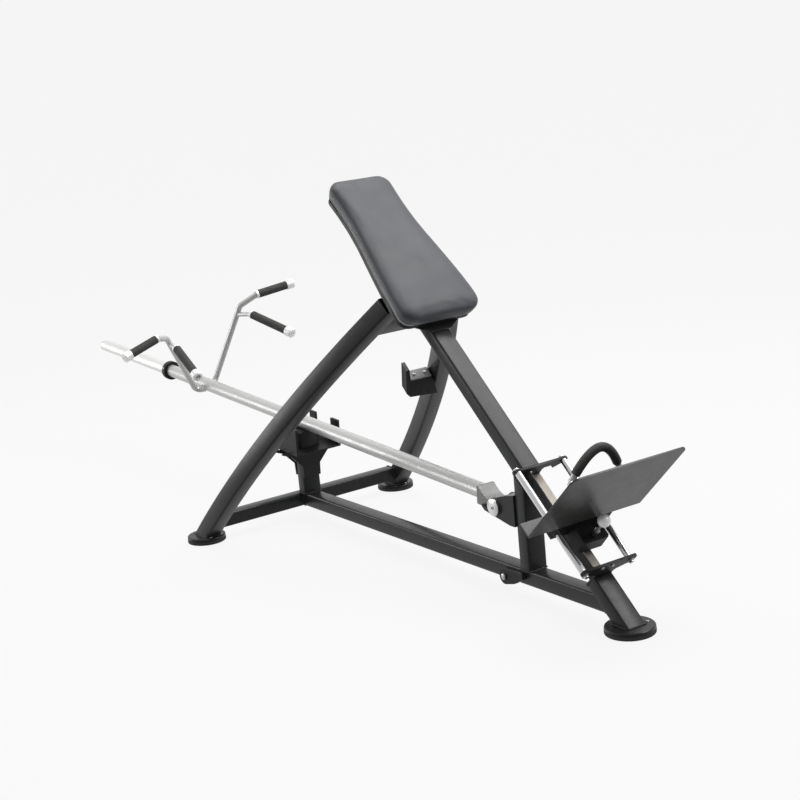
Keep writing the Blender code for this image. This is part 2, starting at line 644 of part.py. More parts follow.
def hb(x, along, up):
    """Point in the rolled bar frame."""
    return BAX + BARV * along + SX * (x * math.cos(RO) - up * math.sin(RO)) + BN * (x * math.sin(RO) + up * math.cos(RO))


RX = SX * math.cos(RO) + BN * math.sin(RO)          # sideways, rolled with the bar


for tag, side in (("left", -1), ("right", 1)):
    arm = [hb(side * (BAR_R + 0.0004), 1.838, -0.008), hb(side * 0.0400, 1.872, -0.020), hb(side * 0.162, 1.7076, 0.2865)]
    outer_start, outer_end = hb(side * 0.219, 1.6577, 0.318), hb(side * 0.346, 1.640, 0.310)
    od = (outer_end - outer_start).normalized()
    path = fillet_path([arm[0], arm[1], arm[2], outer_start, outer_end - od * 0.006], [0.020, 0.028, 0.016], 6)
    bm = bmesh.new()
    bent_rod(bm, path, ARM_R, 16, ((arm[0], RX * side), None))
    add(tag + "_handle_tube", bm, "silver", origin=bp(0, 1.872, 0), smooth=True)
    bm = bmesh.new()
    g0, g1 = outer_start + od * 0.006, outer_end - od * 0.0065
    L = (g1 - g0).length
    pipe(bm, g0, od, 0, L, GRIP_R, ARM_R + GAP, 24)
    add(tag + "_outer_grip", bm, "grip", origin=bp(0, 1.640, 0), smooth=True)
    bm = bmesh.new()
    revolve(bm, outer_end - od * 0.0055, od, [(0, CAP_R), (0.027, CAP_R), (0.030, CAP_R - 0.003)], 24)
    add(tag + "_outer_grip_cap", bm, "alu", origin=bp(0, 1.640, 0), smooth=True)
    # branch with the lengthwise grip
    n0, n1 = hb(side * 0.165, 1.640, 0.262), hb(side * 0.199, 1.463, 0.211)
    nd = (n1 - n0).normalized()
    ad = (arm[2] - arm[1]).normalized()
    on_arm = arm[1].lerp(arm[2], 0.89)
    radial = (n0 - on_arm) - ad * (n0 - on_arm).dot(ad)
    radial.normalize()
    weld = (on_arm + radial * (ARM_R + GAP), radial)
    bd = (n0 - on_arm).normalized()
    start = on_plane(on_arm, bd, *weld)
    bm = bmesh.new()
    bent_rod(bm, [start, n0 + nd * 0.002, n1 + nd * 0.003], 0.0085, 16, (weld, None))
    add(tag + "_branch_tube", bm, "silver", origin=bp(0, 1.640, 0), smooth=True)
    bm = bmesh.new()
    L = (n1 - n0).length - 0.0075
    pipe(bm, n0 + nd * 0.010, nd, 0, L, GRIP_R, 0.0085 + GAP, 24)
    add(tag + "_inner_grip", bm, "grip", origin=bp(0, 1.640, 0), smooth=True)
    bm = bmesh.new()
    revolve(bm, n1 + nd * 0.0035, nd, [(0, CAP_R), (0.027, CAP_R), (0.030, CAP_R - 0.003)], 24)
    add(tag + "_inner_grip_cap", bm, "alu", origin=bp(0, 1.640, 0), smooth=True)

# ---------------------------------------------------------------- bar catch on the right leg
bm = bmesh.new()
CATCH_M = 0.758
cc = leg_axis(CATCH_M, 1)
face = cc - SX * (LEG_W / 2 + 3 * GAP)
# hook outline in (x, z) from the leg face, pushed through along the front normal of the arch
hook = [(0, 0.004), (-0.092, 0.004), (-0.093, 0.041), (-0.107, 0.041), (-0.113, -0.036), (-0.100, -0.049), (0, -0.056)]
et = leg_tangent(CATCH_M, 1)
en = SX - et * SX.dot(et)
en.normalize()
prism(bm, [face - LF * 0.018 + SX * x + Vector((0, 0, z)) if x < 0 else on_plane(face - LF * 0.018 + Vector((0, 0, z)), SX, face - SX * 0.0006, en) for x, z in hook], LF, 0.036)
add("bar_catch_bracket", bm, "black")
bm = bmesh.new()
top = face + Vector((0, 0, 0.004 + 0.0004))
prism(bm, [top - SX * 0.091 - LF * 0.0175, top - SX * 0.008 - LF * 0.0175, top - SX * 0.008 + LF * 0.0175, top - SX * 0.091 + LF * 0.0175], Vector((0, 0, 1)), 0.005)
add("bar_catch_wear_plate", bm, "rubber")

# ---------------------------------------------------------------- foot carriage rails
for tag, side in (("left", -1), ("right", 1)):
    bm = bmesh.new()
    L = PLATE_HI - PLATE_LO
    tip = END_T + 0.008
    revolve(bm, sp(PLATE_LO, ROD_N, side * ROD_X), SU,
            [(-tip, 0.006), (-tip + 0.0015, 0.0075), (0, 0.0075), (0, ROD_R), (L, ROD_R), (L, 0.0075), (L + tip - 0.0015, 0.0075), (L + tip, 0.006)], 24)
    add("guide_rod_" + tag, bm, "chrome", smooth=True)


def end_plate(name, s0, wing_lo, wing_hi, tip_lo, foot_x, foot_n, lug):
    """Plate that closes the tube end and carries both rods; outline in (x, n)."""
    right = [(foot_x, foot_n), (foot_x, wing_lo - 0.006), (foot_x + 0.006, wing_lo)]
    if lug:
        right += [(0.050, wing_lo), (0.056, wing_lo - 0.016), (0.068, wing_lo - 0.010)]
    right += [(0.083, tip_lo), (0.094, tip_lo + 0.004), (0.099, ROD_N + 0.004), (0.097, wing_hi - 0.003), (0.093, wing_hi)]
    pts = [(x, n) for x, n in right] + [(-x, n) for x, n in reversed(right)]
    bm = bmesh.new()
    prism(bm, [sp(s0, n, x) for x, n in pts], SU, END_T - GAP)
    pl = add(name, bm, "black")
    for side in (-1, 1):
        cut(pl, cutter("tool_%s_%d" % (name, side + 1),
                       lambda b: revolve(b, sp(s0 - 0.02, ROD_N, side * ROD_X), SU, [(0, 0.0078), (0.05, 0.0078)], 20)))
    return pl


end_plate("rod_end_plate_lower", PLATE_LO - END_T, 0.014, 0.056, 0.027, SPINE_W / 2, -SPINE_H, False)
end_plate("rod_end_plate_upper", PLATE_HI + GAP, 0.024, 0.044, 0.022, BEAM_W / 2, GAP, True)
mid, half = (PLATE_LO + TUBE_S - GAP) / 2, (TUBE_S - GAP - PLATE_LO) / 2
bm = bmesh.new()
block(bm, sp(mid, (-STRIP_T - GAP - SPINE_H) / 2), BEAM_W / 2, half, (SPINE_H - STRIP_T - GAP) / 2, SX, SU, SN)
beam = add("index_beam", bm, "black")
bm = bmesh.new()
block(bm, sp(mid, -STRIP_T / 2), BEAM_W / 2, half, STRIP_T / 2, SX, SU, SN)
strip = add("index_strip", bm, "bare")
for i in range(HOLES):
    at = PLUNGER_S - HOLE_STEP * HOLE_BELOW + HOLE_STEP * i
    for ob in (beam, strip):
        cut(ob, cutter("tool_index_%s_%d" % (ob.name, i), lambda b: revolve(b, sp(at, -0.016), SN, [(0, 0.0048), (0.03, 0.0048)], 16)))

# ---------------------------------------------------------------- foot carriage
CAR_S0, CAR_S1 = 0.350, 0.402
bm = bmesh.new()
pl = [(-0.101, CAR_S0), (-0.045, CAR_S0), (-0.045, 0.290), (-0.039, 0.284), (0.039, 0.284), (0.045, 0.290), (0.045, CAR_S0), (0.101, CAR_S0), (0.101, CAR_S1), (-0.101, CAR_S1)]
skin(bm, [[sp(s, 0.016, x) for x, s in pl], [sp(s, 0.0635, x) for x, s in pl]])
car = add("foot_carriage", bm, "black")
for side in (-1, 1):
    cut(car, cutter("tool_car_%d" % side, lambda b: revolve(b, sp(0.25, ROD_N, side * ROD_X), SU, [(0, ROD_R + 0.0004), (0.2, ROD_R + 0.0004)], 24)))
PL_S = PLUNGER_S
cut(car, cutter("tool_plunger_bore", lambda b: revolve(b, sp(PL_S, 0.0, 0.0), SN, [(0, 0.0075), (0.04, 0.0075), (0.04, 0.0055), (0.08, 0.0055)], 20)))

PT = 0.005
FL = math.radians(PLATE_LEAN)
FN = SN * math.cos(FL) - SU * math.sin(FL)         # up the plate
FT = SU * math.cos(FL) + SN * math.sin(FL)         # out of its foot side
foot0 = sp(PLATE_S, PLATE_N0)
rc = 0.022
right = []
for i in range(5):
    a = math.radians(90 * i / 4)
    right.append((PLATE_HALF - rc + rc * math.cos(a), PLATE_H - rc + rc * math.sin(a)))
outline = [(PLATE_HALF, 0.0)] + right + [(-x, n) for x, n in reversed(right)] + [(-PLATE_HALF, 0.0)]
bm = bmesh.new()
prism(bm, [foot0 + SX * x + FN * n for x, n in outline], FT, PT)
plate_face = add("foot_plate", bm, "frame")
bm = bmesh.new()
block(bm, sp(PLATE_S + 0.0245, PLATE_N0 + 0.0025), PLATE_HALF, 0.0225, 0.0025, SX, SU, SN)
lip = add("tool_lip", bm, "frame")
lip.hide_render = True
lip.display_type = 'WIRE'
m = plate_face.modifiers.new("lip", 'BOOLEAN')
m.operation = 'UNION'
m.solver = 'EXACT'
m.object = lip

# adjusting handle: bow on the foot side of the plate, with a rubber sleeve
BOW_R, SLEEVE_RO = 0.0095, 0.0135
BOW_X, BOW_S, BOW_N, BOW_RISE = 0.087, 0.406, 0.208, 0.077
arch = []
for i in range(17):
    t = -1 + 2 * i / 16
    k = 1 - abs(t) ** 1.95
    arch.append(sp(BOW_S + 0.037 * k, BOW_N + BOW_RISE * k, BOW_X * t))
legs = []
for side in (-1, 1):
    top = sp(BOW_S, BOW_N, side * BOW_X)
    root = top - (SU * 0.9 + SN * 0.25).normalized() * 0.2
    d = (top - root).normalized()
    legs.append(on_plane(top, d, foot0 + FT * (PT + GAP), FT))
bow = [legs[0]] + arch + [legs[1]]
bm = bmesh.new()
bent_rod(bm, fillet_path([bow[0]] + [arch[0]] + arch[1:-1] + [arch[-1]] + [bow[-1]], [0.004] * len(arch), 1), BOW_R, 14,
         ((foot0 + FT * (PT + GAP), FT), (foot0 + FT * (PT + GAP), FT)))
add("adjusting_handle", bm, "silver", smooth=True)


def bent_sleeve(bm, path, ro, ri, seg):
    """Hollow sleeve along a path."""
    a, b = bmesh.new(), bmesh.new()
    bent_rod(a, path, ro, seg)
    bent_rod(b, path, ri, seg)
    n = len(path)
    outer = [[v.co.copy() for v in a.verts][i * seg:(i + 1) * seg] for i in range(n)]
    inner = [[v.co.copy() for v in b.verts][i * seg:(i + 1) * seg] for i in range(n)]
    a.free()
    b.free()
    hollow(bm, outer, inner)


bm = bmesh.new()
bent_sleeve(bm, arch[1:-1], SLEEVE_RO, BOW_R + 0.0006, 14)
add("adjusting_handle_sleeve", bm, "grip", smooth=True)

# plunger
bm = bmesh.new()
pipe(bm, sp(PL_S, 0.0635 + GAP, 0.0), SN, 0, 0.022, 0.0095, 0.0055, 6)
add("plunger_nut", bm, "steel")
bm = bmesh.new()
revolve(bm, sp(PL_S, -0.008, 0.0), SN, [(0, 0.0030), (0.001, 0.0042), (0.030, 0.0042), (0.030, 0.0068), (0.034, 0.0068), (0.034, 0.0042), (0.1190, 0.0042)], 20)
add("plunger_pin", bm, "steel", origin=sp(PL_S, 0.05, 0.0), smooth=True)
bm = bmesh.new()
kr = 0.0188
prof = [(0.1115 + kr - kr * math.cos(math.radians(a)), kr * math.sin(math.radians(a))) for a in range(15, 180, 15)] + [(0.1115 + 2 * kr, 0.0)]
prof = [(0.1115, 0.0)] + prof
revolve(bm, sp(PL_S, 0.0, 0.0), SN, prof, 24)
add("plunger_knob", bm, "alu", origin=sp(PL_S, 0.12, 0.0), smooth=True)

# ---------------------------------------------------------------- origin under the rear foot
for ob in bpy.data.objects:
    ob.location.y -= REAR_Y
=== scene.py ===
"""Looks of the incline row machine: finishes, upholstery, welds, fasteners, light and camera."""
import json
import math
import random

import bmesh
import bpy
from mathutils import Matrix, Vector
from mathutils.bvhtree import BVHTree


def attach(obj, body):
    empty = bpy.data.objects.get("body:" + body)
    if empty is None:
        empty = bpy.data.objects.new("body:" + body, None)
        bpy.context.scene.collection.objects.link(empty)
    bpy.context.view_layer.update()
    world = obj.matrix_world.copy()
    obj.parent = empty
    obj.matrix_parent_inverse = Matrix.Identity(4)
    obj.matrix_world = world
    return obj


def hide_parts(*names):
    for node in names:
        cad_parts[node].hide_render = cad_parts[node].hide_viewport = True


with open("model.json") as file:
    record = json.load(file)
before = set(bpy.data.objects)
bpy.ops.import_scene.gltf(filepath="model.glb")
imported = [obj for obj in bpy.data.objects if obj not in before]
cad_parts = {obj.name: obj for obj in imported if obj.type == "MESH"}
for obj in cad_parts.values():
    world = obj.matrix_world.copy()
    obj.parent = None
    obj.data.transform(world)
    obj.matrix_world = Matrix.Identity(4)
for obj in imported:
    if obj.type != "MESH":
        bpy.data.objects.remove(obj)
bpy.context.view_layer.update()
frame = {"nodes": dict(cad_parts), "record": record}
NODE = frame["nodes"]
SCN = bpy.context.scene
COL = SCN.collection

# ---------------------------------------------------------------- shared geometry of the frame
Y0 = 1.702                                        # front feet, measured from the rear foot
GAP = 0.0003
TH = math.radians(42.9)
SX = Vector((1, 0, 0))
SZ = Vector((0, 0, 1))
SU = Vector((0, math.cos(TH), math.sin(TH)))
SN = Vector((0, -math.sin(TH), math.cos(TH)))
BA = math.radians(3.47)
BARV = Vector((0, math.cos(BA), math.sin(BA)))
BN = Vector((0, -BARV.z, BARV.y))
PIV = Vector((0, -1.184 + Y0, 0.264))
BAX = PIV + BN * 0.0149
RO = math.radians(12.2)
LN = math.radians(45.5)
LV = Vector((0, -math.sin(LN), math.cos(LN)))
LF = Vector((0, math.cos(LN), math.sin(LN)))
FOOT_HALF, LEG_Y, LEG_W, LEG_D = 0.398, 0.027, 0.055, 0.062
Z0 = 0.012 + GAP + 0.010 + GAP


def sp(s, n, x=0.0):
    return Vector((x, -1.757 + Y0, 0)) + SU * s + SN * n


def bp(x, a, u):
    return BAX + SX * x + BARV * a + BN * u


def hb(x, a, u):
    return BAX + BARV * a + SX * (x * math.cos(RO) - u * math.sin(RO)) + BN * (x * math.sin(RO) + u * math.cos(RO))


def leg_axis(m, side):
    return Vector((side * (FOOT_HALF - 0.05 * m - 0.155 * m * m), LEG_Y + Y0, 0)) + LV * m


def leg_tangent(m, side):
    return (SX * (side * (-0.05 - 0.31 * m)) + LV).normalized()


def rrect(w, h, r, seg=4):
    pts = []
    for cx, cy, a0 in ((w / 2 - r, h / 2 - r, 0), (-w / 2 + r, h / 2 - r, 90), (-w / 2 + r, -h / 2 + r, 180), (w / 2 - r, -h / 2 + r, 270)):
        for i in range(seg + 1):
            a = math.radians(a0 + 90 * i / seg)
            pts.append((cx + r * math.cos(a), cy + r * math.sin(a)))
    return pts


def on_plane(p, d, pt, nrm):
    return p + d * ((Vector(pt) - p).dot(nrm) / d.dot(nrm))


# ---------------------------------------------------------------- material helpers
def nodes_of(name):
    m = bpy.data.materials.new(name)
    m.use_nodes = True
    nt = m.node_tree
    return m, nt, nt.nodes["Principled BSDF"]


def link(nt, a, b):
    nt.links.new(a, b)


def mixed(nt, fac, a, b):
    mx = nt.nodes.new("ShaderNodeMix")
    mx.data_type = "RGBA"
    mx.inputs[6].default_value = (*a, 1)
    mx.inputs[7].default_value = (*b, 1)
    link(nt, fac, mx.inputs[0])
    return mx.outputs[2]


def noise(nt, scale, detail=4.0, rough=0.5, stretch=None, distortion=0.0):
    tc = nt.nodes.new("ShaderNodeTexCoord")
    n = nt.nodes.new("ShaderNodeTexNoise")
    n.inputs["Scale"].default_value = scale
    n.inputs["Detail"].default_value = detail
    n.inputs["Roughness"].default_value = rough
    n.inputs["Distortion"].default_value = distortion
    if stretch:
        mp = nt.nodes.new("ShaderNodeMapping")
        mp.inputs["Rotation"].default_value = stretch[1] if len(stretch) > 1 else (0, 0, 0)
        mp.inputs["Scale"].default_value = stretch[0]
        link(nt, tc.outputs["Object"], mp.inputs["Vector"])
        link(nt, mp.outputs["Vector"], n.inputs["Vector"])
    else:
        link(nt, tc.outputs["Object"], n.inputs["Vector"])
    return n.outputs["Fac"]


def voronoi(nt, scale, feature="F1", randomness=1.0):
    tc = nt.nodes.new("ShaderNodeTexCoord")
    v = nt.nodes.new("ShaderNodeTexVoronoi")
    v.feature = feature
    v.inputs["Scale"].default_value = scale
    v.inputs["Randomness"].default_value = randomness
    link(nt, tc.outputs["Object"], v.inputs["Vector"])
    return v.outputs["Distance"]


def ramp(nt, fac, lo, hi, a=0.0, b=1.0):
    r = nt.nodes.new("ShaderNodeMapRange")
    r.inputs["From Min"].default_value = lo
    r.inputs["From Max"].default_value = hi
    r.inputs["To Min"].default_value = a
    r.inputs["To Max"].default_value = b
    link(nt, fac, r.inputs["Value"])
    return r.outputs["Result"]


def bump(nt, bsdf, height, strength, dist, after=None):
    b = nt.nodes.new("ShaderNodeBump")
    b.inputs["Strength"].default_value = strength
    b.inputs["Distance"].default_value = dist
    link(nt, height, b.inputs["Height"])
    if after is not None:
        link(nt, after, b.inputs["Normal"])
    link(nt, b.outputs["Normal"], bsdf.inputs["Normal"])
    return b.outputs["Normal"]


# Pointiness mask of the sharp convex edges; it carries a painted highlight along them
def edge_highlight_mask(nt, lo=0.52, hi=0.60):
    g = nt.nodes.new("ShaderNodeNewGeometry")
    return ramp(nt, g.outputs["Pointiness"], lo, hi)


def times(nt, a, b):
    m = nt.nodes.new("ShaderNodeMath")
    m.operation = "MULTIPLY"
    link(nt, a, m.inputs[0])
    link(nt, b, m.inputs[1])
    return m.outputs[0]


def powder_coat(name, base, edge_highlight, rough=(0.24, 0.34), spec=0.32, peel=0.10):
    """Stoved powder coat: orange peel, faint mottling, and a painted highlight that lightens the sharp edges."""
    m, nt, b = nodes_of(name)
    mott = noise(nt, 9, 5, 0.6)
    c1 = mixed(nt, ramp(nt, mott, 0.3, 0.7), tuple(x * 0.95 for x in base), tuple(x * 1.06 for x in base))
    mx = nt.nodes.new("ShaderNodeMix")
    mx.data_type = "RGBA"
    # painted highlight: the lighter edge colour is mixed in along the convex edges, broken up by noise
    link(nt, times(nt, edge_highlight_mask(nt), ramp(nt, noise(nt, 60, 3), 0.35, 0.6)), mx.inputs[0])
    link(nt, c1, mx.inputs[6])
    mx.inputs[7].default_value = (*edge_highlight, 1)
    link(nt, mx.outputs[2], b.inputs["Base Color"])
    link(nt, ramp(nt, noise(nt, 25, 4), 0.25, 0.75, *rough), b.inputs["Roughness"])
    b.inputs["Specular IOR Level"].default_value = spec
    n1 = bump(nt, b, noise(nt, 420, 2), peel, 0.0006)
    bump(nt, b, noise(nt, 1500, 2), peel * 0.6, 0.0003, n1)
    return m


def metallic_paint(name, base, rough=0.30, metal=0.75, flake=0.5):
    m, nt, b = nodes_of(name)
    fl = voronoi(nt, 1400)
    link(nt, mixed(nt, ramp(nt, fl, 0.1, 0.6), tuple(x * 1.10 for x in base), tuple(x * 0.86 for x in base)), b.inputs["Base Color"])
    b.inputs["Metallic"].default_value = metal
    link(nt, ramp(nt, noise(nt, 18, 5), 0.3, 0.7, rough - 0.04, rough + 0.06), b.inputs["Roughness"])
    b.inputs["Coat Weight"].default_value = 0.3
    b.inputs["Coat Roughness"].default_value = 0.12
    n1 = bump(nt, b, noise(nt, 500, 2), 0.06, 0.0005)
    bump(nt, b, fl, 0.05 * flake, 0.0002, n1)
    return m


def brushed(name, base, rough, stretch, strength=0.12, smudge=0.06):
    """Drawn or brushed metal: fine lines along one direction, slight smudges."""
    m, nt, b = nodes_of(name)
    lines = noise(nt, 60, 6, 0.7, stretch)
    link(nt, mixed(nt, ramp(nt, lines, 0.3, 0.7), tuple(x * 0.9 for x in base), tuple(min(1, x * 1.06) for x in base)), b.inputs["Base Color"])
    b.inputs["Metallic"].default_value = 1.0
    link(nt, ramp(nt, noise(nt, 22, 5), 0.3, 0.7, rough - smudge / 2, rough + smudge), b.inputs["Roughness"])
    bump(nt, b, lines, strength, 0.0004)
    return m


def moulded_rubber(name, base, grain=650, depth=0.35, rough=0.72, dist=0.0008):
    m, nt, b = nodes_of(name)
    v = voronoi(nt, grain)
    link(nt, mixed(nt, ramp(nt, v, 0.1, 0.7), tuple(x * 0.7 for x in base), tuple(x * 1.5 for x in base)), b.inputs["Base Color"])
    link(nt, ramp(nt, noise(nt, 30, 4), 0.3, 0.7, rough - 0.08, rough + 0.08), b.inputs["Roughness"])
    n1 = bump(nt, b, v, depth, dist)
    bump(nt, b, noise(nt, 180, 4), depth * 0.5, dist, n1)
    return m


def leather(name, base, dark):
    """Soft synthetic leather: fine pebble grain, faint creases and a dull sheen."""
    m, nt, b = nodes_of(name)
    big = noise(nt, 7, 6, 0.6)
    link(nt, mixed(nt, ramp(nt, big, 0.3, 0.7), dark, base), b.inputs["Base Color"])
    link(nt, ramp(nt, noise(nt, 14, 5, 0.6), 0.3, 0.7, 0.44, 0.56), b.inputs["Roughness"])
    b.inputs["Specular IOR Level"].default_value = 0.42
    b.inputs["Sheen Weight"].default_value = 0.12
    b.inputs["Sheen Roughness"].default_value = 0.5
    grain = voronoi(nt, 620, "DISTANCE_TO_EDGE")
    n1 = bump(nt, b, ramp(nt, grain, 0.0, 0.25), 0.20, 0.0005)
    n2 = bump(nt, b, noise(nt, 240, 5, 0.65), 0.16, 0.0006, n1)
    bump(nt, b, noise(nt, 34, 3, 0.5, ((1, 3, 3),)), 0.10, 0.0020, n2)
    return m


def plywood(name):
    m, nt, b = nodes_of(name)
    g = noise(nt, 30, 6, 0.65, ((1.0, 14.0, 14.0),), 1.2)
    link(nt, mixed(nt, ramp(nt, g, 0.3, 0.7), (0.20, 0.13, 0.07), (0.42, 0.30, 0.18)), b.inputs["Base Color"])
    b.inputs["Roughness"].default_value = 0.65
    bump(nt, b, g, 0.2, 0.0006)
    return m


BASE_PAINT = (0.0135, 0.0138, 0.0150)
M = {
    "frame": powder_coat("paint_charcoal", BASE_PAINT, (0.024, 0.025, 0.027)),
    "black": powder_coat("paint_black", (0.0070, 0.0070, 0.0074), (0.022, 0.022, 0.022), (0.34, 0.46), 0.26, 0.14),
    "plate": powder_coat("paint_plate", (0.0190, 0.0188, 0.0182), (0.045, 0.045, 0.044), (0.30, 0.38), 0.55, 0.10),
    "silver": metallic_paint("paint_silver", (0.55, 0.55, 0.545), 0.42, 0.55),
    "sleeve": brushed("zinc_sleeve", (0.93, 0.93, 0.91), 0.40, ((1, 0.05, 1),)),
    "chrome": brushed("hard_chrome", (0.86, 0.87, 0.88), 0.10, ((1, 0.04, 0.04), (TH, 0, 0)), 0.02, 0.03),
    "alu": brushed("turned_aluminium", (0.86, 0.86, 0.85), 0.24, ((6, 1, 1),), 0.10),
    "strip": brushed("bare_strip", (0.25, 0.23, 0.205), 0.50, ((1, 0.06, 0.06), (TH, 0, 0)), 0.2),
    "steel": brushed("zinc_steel", (0.55, 0.56, 0.57), 0.34, ((2, 2, 2),), 0.10),
    "rubber": moulded_rubber("foot_rubber", (0.016, 0.016, 0.016), 380, 0.25, 0.80),
    "grip": moulded_rubber("grip_foam", (0.022, 0.022, 0.021), 520, 0.55, 0.70, 0.0012),
    "vinyl": leather("pad_leather", (0.038, 0.041, 0.048), (0.025, 0.027, 0.032)),
    "ply": plywood("pad_plywood"),
}
m, nt, b = nodes_of("seam_thread_painted_highlight")
twist = noise(nt, 900, 3, 0.6, ((1, 1, 4),))
# real stitching, but the light grey thread colour is a painted highlight standing for the bright lines beside the
# piping
link(nt, mixed(nt, ramp(nt, twist, 0.3, 0.7), (0.46, 0.47, 0.48), (0.66, 0.67, 0.68)), b.inputs["Base Color"])
b.inputs["Roughness"].default_value = 0.55
bump(nt, b, twist, 0.4, 0.0003)
M["thread_painted_highlight"] = m
# darker copy of the silver paint for the pivot boss, standing for the shade it sits in: painted shade
M["silver_painted_shade"] = metallic_paint("paint_silver_painted_shade", (0.20, 0.20, 0.197), 0.52, 0.35)
M["knob"] = metallic_paint("knob_satin", (0.86, 0.86, 0.85), 0.40, 0.35)
M["carriage"] = powder_coat("paint_deep_black", (0.0042, 0.0042, 0.0044), (0.018, 0.018, 0.018), (0.38, 0.50), 0.16, 0.14)
# real piping, but its light grey colour is a painted highlight standing for the bright line along the seam
M["piping_painted_highlight"] = leather("pad_piping_painted_highlight", (0.230, 0.236, 0.245), (0.180, 0.185, 0.192))
M["wear"] = moulded_rubber("wear_plastic", (0.13, 0.13, 0.13), 500, 0.2, 0.5)

SLOT_MAT = {"frame_paint": "frame", "black_paint": "black", "silver_paint": "silver", "bright_sleeve": "sleeve", "chrome": "chrome",
            "aluminium": "alu", "bare_strip": "strip", "rubber": "rubber", "grip_rubber": "grip", "upholstery": "vinyl", "plywood": "ply", "steel": "steel"}

# ---------------------------------------------------------------- finish of the CAD nodes
NODE_MAT = {"foot_plate": "plate", "bar_catch_wear_plate": "wear", "pad_board": "black", "frame_ear_left": "black",
            "pivot_boss": "silver_painted_shade", "plunger_knob": "knob", "left_inner_grip_cap": "knob", "right_inner_grip_cap": "knob",
            "left_outer_grip_cap": "knob", "right_outer_grip_cap": "knob", "foot_carriage": "carriage", "index_beam": "carriage"}
BEVEL = {"frame_paint": 0.0012, "black_paint": 0.0009, "foot_plate": 0.0014, "rubber": 0.0010, "steel": 0.0006, "plywood": 0.0010}
for sub in frame["record"]["subparts"]:
    ob = NODE[sub["node"]]
    me = ob.data
    slot = sub["material_slot"]
    me.materials.clear()
    me.materials.append(M[NODE_MAT.get(sub["node"], SLOT_MAT[slot])])
    if "custom_normal" in me.attributes:
        me.attributes.remove(me.attributes["custom_normal"])
    for p in me.polygons:
        p.use_smooth = True
    w = ob.modifiers.new("weld", "WELD")
    w.merge_threshold = 0.00002
    bv = ob.modifiers.new("bevel", "BEVEL")
    bv.width = BEVEL.get(sub["node"], BEVEL.get(slot, 0.0006))
    bv.segments = 2
    bv.limit_method = "ANGLE"
    bv.angle_limit = math.radians(38)
    bv.use_clamp_overlap = True
    bv.harden_normals = True


# ---------------------------------------------------------------- builders
def piece(name, bm, mat, body, smooth=True, sharp=35):
    bmesh.ops.recalc_face_normals(bm, faces=bm.faces)
    if bm.calc_volume(signed=True) < 0:
        bmesh.ops.reverse_faces(bm, faces=bm.faces)
    lim = math.radians(sharp)
    for f in bm.faces:
        f.smooth = smooth
    for e in bm.edges:
        if len(e.link_faces) == 2 and e.calc_face_angle(0.0) > lim:
            e.smooth = False
    me = bpy.data.meshes.new(name)
    bm.to_mesh(me)
    bm.free()
    me.materials.append(M[mat])
    ob = bpy.data.objects.new(name, me)
    COL.objects.link(ob)
    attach(ob, body)
    return ob


def lathe(bm, origin, axis, profile, seg=32):
    """Turned piece: profile of (along, radius), closed by its end points at radius 0 or by caps."""
    axis = axis.normalized()
    ref = SZ if abs(axis.z) < 0.9 else SX
    e1 = (ref - axis * ref.dot(axis)).normalized()
    e2 = axis.cross(e1)
    prev = first = None
    for h, r in profile:
        if r < 1e-7:
            cur = bm.verts.new(origin + axis * h)
        else:
            cur = [bm.verts.new(origin + axis * h + (e1 * math.cos(2 * math.pi * k / seg) + e2 * math.sin(2 * math.pi * k / seg)) * r) for k in range(seg)]
        if prev is None:
            first = cur
        elif isinstance(prev, list) and isinstance(cur, list):
            for i in range(seg):
                bm.faces.new((prev[i], prev[(i + 1) % seg], cur[(i + 1) % seg], cur[i]))
        else:
            tip, ring = (prev, cur) if isinstance(cur, list) else (cur, prev)
            for i in range(seg):
                bm.faces.new((tip, ring[(i + 1) % seg], ring[i]))
        prev = cur
    for end in (first, prev):
        if isinstance(end, list):
            bm.faces.new(end)


def tube_ring(bm, origin, axis, pts, seg=32):
    """Closed ring of revolution from a closed (along, radius) outline."""
    axis = axis.normalized()
    ref = SZ if abs(axis.z) < 0.9 else SX
    e1 = (ref - axis * ref.dot(axis)).normalized()
    e2 = axis.cross(e1)
    rings = [[bm.verts.new(origin + axis * h + (e1 * math.cos(2 * math.pi * k / seg) + e2 * math.sin(2 * math.pi * k / seg)) * r) for k in range(seg)] for h, r in pts]
    for a, bq in zip(rings, rings[1:] + rings[:1]):
        for i in range(seg):
            bm.faces.new((a[i], a[(i + 1) % seg], bq[(i + 1) % seg], bq[i]))


def sweep(bm, path, radius, seg=10, closed=False):
    """Tube along a path; radius may be a function of (index, distance)."""
    n = len(path)
    tang = []
    for i in range(n):
        a = path[(i - 1) % n] if closed or i else path[0]
        c = path[(i + 1) % n] if closed or i < n - 1 else path[-1]
        tang.append((c - a).normalized())
    ref = SZ if abs(tang[0].z) < 0.9 else SX
    e1 = (ref - tang[0] * ref.dot(tang[0])).normalized()
    rings, dist = [], 0.0
    for i in range(n):
        if i:
            e1 = tang[i - 1].rotation_difference(tang[i]) @ e1
            e1 = (e1 - tang[i] * e1.dot(tang[i])).normalized()
            dist += (path[i] - path[i - 1]).length
        e2 = tang[i].cross(e1)
        r = radius(i, dist) if callable(radius) else radius
        rings.append([bm.verts.new(path[i] + (e1 * math.cos(2 * math.pi * k / seg) + e2 * math.sin(2 * math.pi * k / seg)) * r) for k in range(seg)])
    pairs = list(zip(rings, rings[1:]))
    if closed:
        pairs.append((rings[-1], rings[0]))
    for a, c in pairs:
        off = 0
        if closed and c is rings[0]:
            off = min(range(seg), key=lambda s: (a[0].co - c[s].co).length)
        for i in range(seg):
            bm.faces.new((a[i], a[(i + 1) % seg], c[(i + 1 + off) % seg], c[(i + off) % seg]))
    if not closed:
        bm.faces.new(rings[0])
        bm.faces.new(rings[-1])


